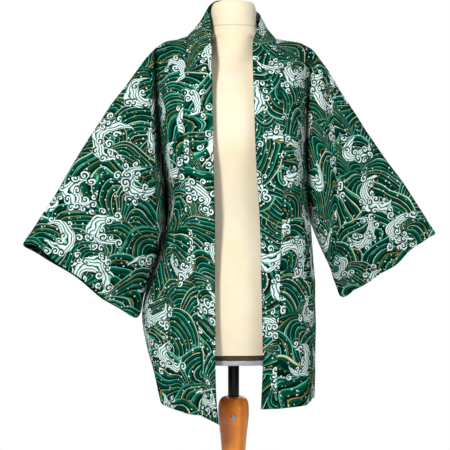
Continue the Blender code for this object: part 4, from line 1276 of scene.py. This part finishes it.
def makeStitches():
    points, faces, sides = [], [], stitchSize["sides"]
    for name, sheet in sheets.items():
        kind = name.split("_")[0]
        for grid in {"collar": [], "sleeve": sheet.grids}.get(kind, sheet.grids[:1]):
            for rings in stitchesAlong(*stitchLine(sheet, grid, stitchSize["rows"][kind])):
                start, last = len(points), len(points) + (len(rings) - 1) * sides
                points += [p for ring in rings for p in ring]
                for row in range(start, last, sides):
                    for k in range(sides):
                        a, b = row + k, row + (k + 1) % sides
                        faces.append([a, b, b + sides, a + sides])
                faces.append([start + k for k in reversed(range(sides))])
                faces.append([last + k for k in range(sides)])
    addPiece("jacket_stitches", points, faces, [thread])  # the record has no slot for thread
    print("stitches made,", len(faces), "faces")


makeStitches()

# the dress form: half widths and depths round its axis
formTable = table("height wide front behind",
    (751.7, 146, 105, 108), (800, 152, 112, 118), (870, 154, 114, 122), (950, 145, 106, 112),
    (1040, 123, 92, 96), (1120, 126, 98, 98), (1200, 135, 111, 103), (1260, 138, 106, 100),
    (1320, 142, 86, 88), (1350, 144, 64, 70), (1370, 144, 47, 54), (1385, 143.5, 34, 39),
    (1395, 142, 26, 28.5), (1402, 138, 22, 23), (1408, 132, 19.5, 19), (1411.2, 123, 19, 18),
    (1413.8, 108, 20, 19), (1416, 92, 24, 25), (1419.5, 78, 33, 35), (1426, 63, 42, 44),
    (1438, 52.5, 47.5, 47.5), (1452, 48.6, 48.6, 48.6), (1470, 48.3, 48.3, 48.3), (1486, 47.6, 47.6, 47.6),
    (1494, 44.5, 44.5, 44.5), (1498.5, 39, 39, 39), (1500, 31, 31, 31),
)
formSize = {"axisX": -0.002 + 0.0051, "sides": 144, "square": 2.25, "coverEnd": 0.7517, "bandSeam": 1.4470,
            "bandDip": 0.0026, "bandFull": 0.0004, "seamDeep": 0.0004, "seamHalf": 0.0012, "seamDark": 0.0016,
            "fullRise": 0.002, "fullEnd": 1.470, "fullFall": 0.02, "neckRadius": 0.0486, "neckWide": 0.054,
            "neckBlend": 0.008, "hemTuck": 0.0006, "tuckEnd": 0.7519, "top": 1.5, "crown": 0.0004,
            "girth": 0.12,
            "hemRings": (0.7517, 0.7521, 0.7530, 0.7545), "capShares": (0.8, 0.55, 0.3, 0.12),
            "rings": ((0.758, 1.31, 90), (1.315, 1.436, 60), (1.4385, 1.4560, 26), (1.458, 1.486, 12),
                      (1.4875, 1.4998, 12))}  # the first and last height of each run, and its count

# the throat and nape, which the shallow shoulder rings would leave hollow
throatTable = table("height wide front behind",
    (1335, 56, 44, 48), (1350, 66, 54.5, 58), (1370, 66, 59, 60), (1395, 60, 56.5, 56),
    (1420, 52.5, 51, 51), (1438, 48, 47.5, 47.5), (1456, 40, 40, 40),
)
throatBlend = 12  # the power that blends the throat's oval into a ring


def ovalAt(source, height):
    return (readColumn(source, name, height) for name in ("wide", "front", "behind"))


def throatShare(x, y, height):
    if not throatTable["height"][0] < height < throatTable["height"][-1]:
        return np.ones_like(x)
    wide, front, behind = ovalAt(throatTable, height)
    oval = 1 / np.hypot(x / wide, y / np.where(y > 0, behind, front))
    return (1 + oval ** throatBlend) ** (1 / throatBlend)


def formRing(height, grow=0.0):
    size = formSize
    wide, front, behind = (value + grow for value in ovalAt(formTable, height))
    square = float(ease((wide - size["neckWide"]) / size["neckBlend"]))  # the neck's rings are round
    power = 2 / (2 + (size["square"] - 2) * square)
    c, s = circle(size["sides"])
    x = wide * np.sign(c) * np.abs(c) ** power
    y = np.where(s > 0, behind, front) * np.sign(s) * np.abs(s) ** power
    share = throatShare(x, y, height)
    return np.stack([size["axisX"] + x * share, y * share, np.full_like(x, height)], 1)


def loftPiece(name, rings, material, slot, node):  # closed, with its ends gathered to a middle point
    sides = len(rings[0])
    points = np.vstack([[rings[0].mean(0)], *rings, [rings[-1].mean(0)]])
    faces, last = [], len(points) - 1
    for k in range(sides):
        n = (k + 1) % sides
        faces += [[0, 1 + n, 1 + k], [last, last - sides + k, last - sides + n]]
        for a in range(1, 1 + (len(rings) - 1) * sides, sides):
            faces.append([a + k, a + n, a + n + sides, a + k + sides])
    return addPiece(name, points, faces, [material], slot, node)


def torsoRings():
    size = formSize
    runs = [np.linspace(*run) for run in size["rings"]]
    rings, edges = [], []
    for h in np.concatenate([size["hemRings"], *runs, [size["top"]]]):
        ring = formRing(h)
        out = unit(ring - [size["axisX"], 0, h])
        seam = size["bandSeam"] + size["bandDip"] * np.clip(ring[:, 1] / size["neckRadius"], -1, 1)
        d = (h - seam) / size["seamHalf"]
        full = size["bandFull"] * ease((h - seam) / size["fullRise"])
        full = full * ease((size["fullEnd"] - h) / size["fullFall"])
        tuck = -size["hemTuck"] * (h < size["tuckEnd"])
        rings.append(ring + out * (full - size["seamDeep"] * np.exp(-d * d) + tuck)[:, None])
        # the mask of the painted shade along the band's seam
        edges.append(np.exp(-((h - seam) / size["seamDark"]) ** 2))
    top = rings[-1]
    for share in size["capShares"]:  # the flat top, gently crowned
        ring = (top - top.mean(0)) * [share, share, 1] + top.mean(0)
        ring[:, 2] += size["crown"] * (1 - share)
        rings.append(ring)
        edges.append(np.zeros(len(ring)))
    return rings, edges


def wrapPlace(piece):  # flat place by girth and height
    points = np.array([v.co for v in piece.data.vertices])
    layer = piece.data.uv_layers.new(name="Cloth")
    for polygon in piece.data.polygons:
        turns = [math.atan2(points[v][1], points[v][0] - formSize["axisX"]) for v in polygon.vertices]
        if max(turns) - min(turns) > math.pi:
            turns = [t + 2 * math.pi if t < 0 else t for t in turns]
        for loop, t, v in zip(polygon.loop_indices, turns, polygon.vertices):
            layer.data[loop].uv = (t * formSize["girth"], points[v][2])


slabPart = 0.3  # the share of a rim's rounding that its middle ring stands at
slabs = {  # heights, how far inside the cover's edge, and the rounding of the rims
    # a dark ring set in under the cover's edge: binding tape, whose dark colour also stands in for the shade
    # in the gap under the cover
    "form_tape": {"low": 0.7413, "high": 0.7514, "inset": 0.0030, "corner": 0.0010,
                  "finish": (bindingAndShade, "dark_binding", "form_binding")},
    "form_board": {"low": 0.7310, "high": 0.7410, "inset": 0.0010, "corner": 0.0012,
                   "finish": (board, "pale_board", "form_plate")},
}


def roundedSlab(name, low, high, inset, corner, finish):
    rings, part = [], corner * slabPart
    heights = (low, low + part, low + corner, high - corner, high - part, high)
    for z, pull in zip(heights, (corner, part, 0, 0, part, corner)):
        ring = formRing(formSize["coverEnd"], -inset - pull)
        ring[:, 2] = z
        rings.append(ring)
    loftPiece(name, rings, *finish)


def makeForm():
    rings, edges = torsoRings()
    torso = loftPiece("form_cover", rings, jersey, "cream_jersey", "form_torso")
    markPoints(torso, "edge", np.concatenate([[0], *edges, [0]]))
    wrapPlace(torso)
    for name, slab in slabs.items():
        roundedSlab(name, **slab)


makeForm()
print("dress form made")

columnProfile = table("radius height",
    (15, 654), (21.5, 653), (26.5, 650), (30.5, 643.5), (32.5, 634), (33, 623), (32.5, 608), (30, 585),
    (27.5, 562), (25.6, 535), (24, 490), (23, 440), (23.5, 390), (26.5, 360), (29, 340), (29, 275),
    (27, 262), (20, 253), (12, 250),
)
standSize = {
    "columnSides": 72, "columnRings": 180,
    "tube": 0.0120, "tubeSides": 48, "tubeTop": 0.7307, "tubeEnd": 0.6543, "tubeRim": 0.001,
    "screw": 0.0060, "screwSides": 48, "screwDeep": 0.0022, "screwProud": 0.0003, "screwHeight": 0.6130,
    "screwRings": ((1.0, 0.0), (1.0, 0.45), (0.93, 0.72), (0.78, 0.92), (0.6, 1.0), (0.5, 1.0),
                   (0.4, 1.0), (0.3, 1.0), (0.2, 1.0), (0.1, 1.0)),  # share of the radius, and lift
    "slotDeep": 0.45, "slotHalf": 0.11, "slotReach": 0.56,
    "legs": 3, "legRadius": 0.0140, "legSides": 28, "legTop": 0.3100, "legRoot": 0.0293, "legRun": 0.002,
    "legBend": 40, "spread": 0.2400, "ankle": 0.0300, "footRound": 0.0015,
}


def turned(name, radii, heights, finish, sides):
    c, s = circle(sides)
    rings = [np.stack([formSize["axisX"] + r * c, r * s, np.full(sides, h)], 1)
             for r, h in zip(radii[::-1], heights[::-1])]
    loftPiece(name, rings, *finish)


def sweep(name, path, radius, finish, sides):
    ahead = unit(np.gradient(path, axis=0))
    side = unit(np.cross(ahead, np.cross(path[-1] - path[0], [0, 0, 1])))
    across = np.cross(ahead, side)
    c, s = (values[:, None] for values in circle(sides))
    loftPiece(name, [p + r * (c * u + s * v) for p, r, u, v in zip(path, radius, side, across)], *finish)


def makeLeg(number):
    s = standSize
    hip, top, spread = s["legRoot"] + s["legRadius"], s["legTop"], s["spread"]
    shin = np.array([[hip, top], [spread * 2 / 3, top], [spread, top / 2], [spread, s["ankle"]]])
    root = [[s["legRoot"], top], [s["legRoot"] + s["legRun"], top]]
    foot = [[spread, s["footRound"]], [spread, 0]]
    line = np.vstack([root, bezier(*shin, np.linspace(0, 1, s["legBend"])), foot])
    radius = np.full(len(line), s["legRadius"])
    radius[[0, -1]] -= s["footRound"]
    turn = 2 * math.pi * (number - 1) / s["legs"]
    path = [formSize["axisX"] + line[:, 0] * math.cos(turn), line[:, 0] * math.sin(turn), line[:, 1]]
    finish = (wood, "orange_wood", f"stand_leg_{number}")
    sweep(f"stand_foot_{number}", np.stack(path, 1), radius, finish, s["legSides"])


def makeScrew(front):  # a pan head with a cross slot
    s, loft = standSize, []
    c, d = circle(s["screwSides"])
    for share, lift in s["screwRings"]:
        x, z = share * c, share * d
        narrow, wide = np.minimum(np.abs(x), np.abs(z)), np.maximum(np.abs(x), np.abs(z))
        inSlot = (narrow < s["slotHalf"]) & (wide < s["slotReach"]) & (lift == 1.0)
        y = -(front + s["screwDeep"] * (lift - np.where(inSlot, s["slotDeep"], 0.0)))
        loft.append(np.stack([formSize["axisX"] + s["screw"] * x, y, s["screwHeight"] + s["screw"] * z], 1))
    loftPiece("stand_screw_head", loft, steel, "screw_steel", "stand_screw")


def makeStand():
    s = standSize
    ends = np.array([s["tubeTop"], s["tubeTop"] - s["tubeRim"], s["tubeEnd"] + s["tubeRim"], s["tubeEnd"]])
    turned("stand_post", np.full(4, s["tube"]), ends, (black, "black_tube", "stand_tube"), s["tubeSides"])
    stations = np.arange(len(columnProfile["radius"]))
    profile = np.stack(list(columnProfile.values()), 1)
    radii, heights = through(stations, profile, np.linspace(0, stations[-1], s["columnRings"])).T
    turned("stand_turning", radii, heights, (wood, "orange_wood", "stand_column"), s["columnSides"])
    makeScrew(float(np.interp(-s["screwHeight"], -heights, radii)) + s["screwProud"])
    for k in range(s["legs"]):
        makeLeg(k + 1)


makeStand()
print("stand made")

studio = {
    "floor": 5.0, "paper": ("f4f4f2", "eeeeec"), "cloud": 2.0, "paperRough": 0.9,
    "world": (1.0, 1.0, 1.0, 1.0), "worldStrength": 0.22,
    "lights": {
        "Key light": {"place": (-1.2, -2.8, 2.7), "size": 0.50, "power": 93, "target": (0, 0, 1.1)},
        "Fill light": {"place": (2.2, -2.2, 1.4), "size": 1.8, "power": 21, "target": (0, 0, 1.0)},
        "Rear light": {"place": (0.6, 2.4, 2.2), "size": 1.6, "power": 46, "target": (0, 0, 1.1)},
    },
}


def makeFloor():
    half, mesh = studio["floor"] / 2, bpy.data.meshes.new("Floor")
    corners = [(-half, -half, 0), (half, -half, 0), (half, half, 0), (-half, half, 0)]
    mesh.from_pydata(corners, [], [(0, 1, 2, 3)])
    material, w, shader = newMaterial("floor_paper", {"Roughness": studio["paperRough"]})
    cloud, (light, shade) = w.noise(w.spot(), studio["cloud"], 2.0), map(rgb, studio["paper"])
    w.feed(shader.inputs["Base Color"], w.colour(light, shade, cloud))
    mesh.materials.append(material)
    addObject("Floor", mesh)


def makeWorld():  # plain white where the camera sees it, and dimmer as a light
    world = bpy.data.worlds.new("Studio")
    world.use_nodes = True
    background, w = world.node_tree.nodes["Background"], Wires(world.node_tree)
    background.inputs["Color"].default_value = studio["world"]
    seen = w.out(w.node("LightPath"), "Is Camera Ray")
    w.feed(background.inputs["Strength"], w.smooth(seen, 0.0, 1.0, studio["worldStrength"], 1.0))
    bpy.context.scene.world = world


def makeLight(name, place, size, power, target):
    data = bpy.data.lights.new(name, "AREA")
    data.size, data.energy = size, power
    lamp = addObject(name, data)
    lamp.location = place
    lamp.rotation_euler = (Vector(target) - lamp.location).to_track_quat("-Z", "Y").to_euler()


makeFloor()
makeWorld()
for name, light in studio["lights"].items():
    makeLight(name, **light)
bpy.context.scene.view_settings.view_transform = "Standard"
print("studio lit")
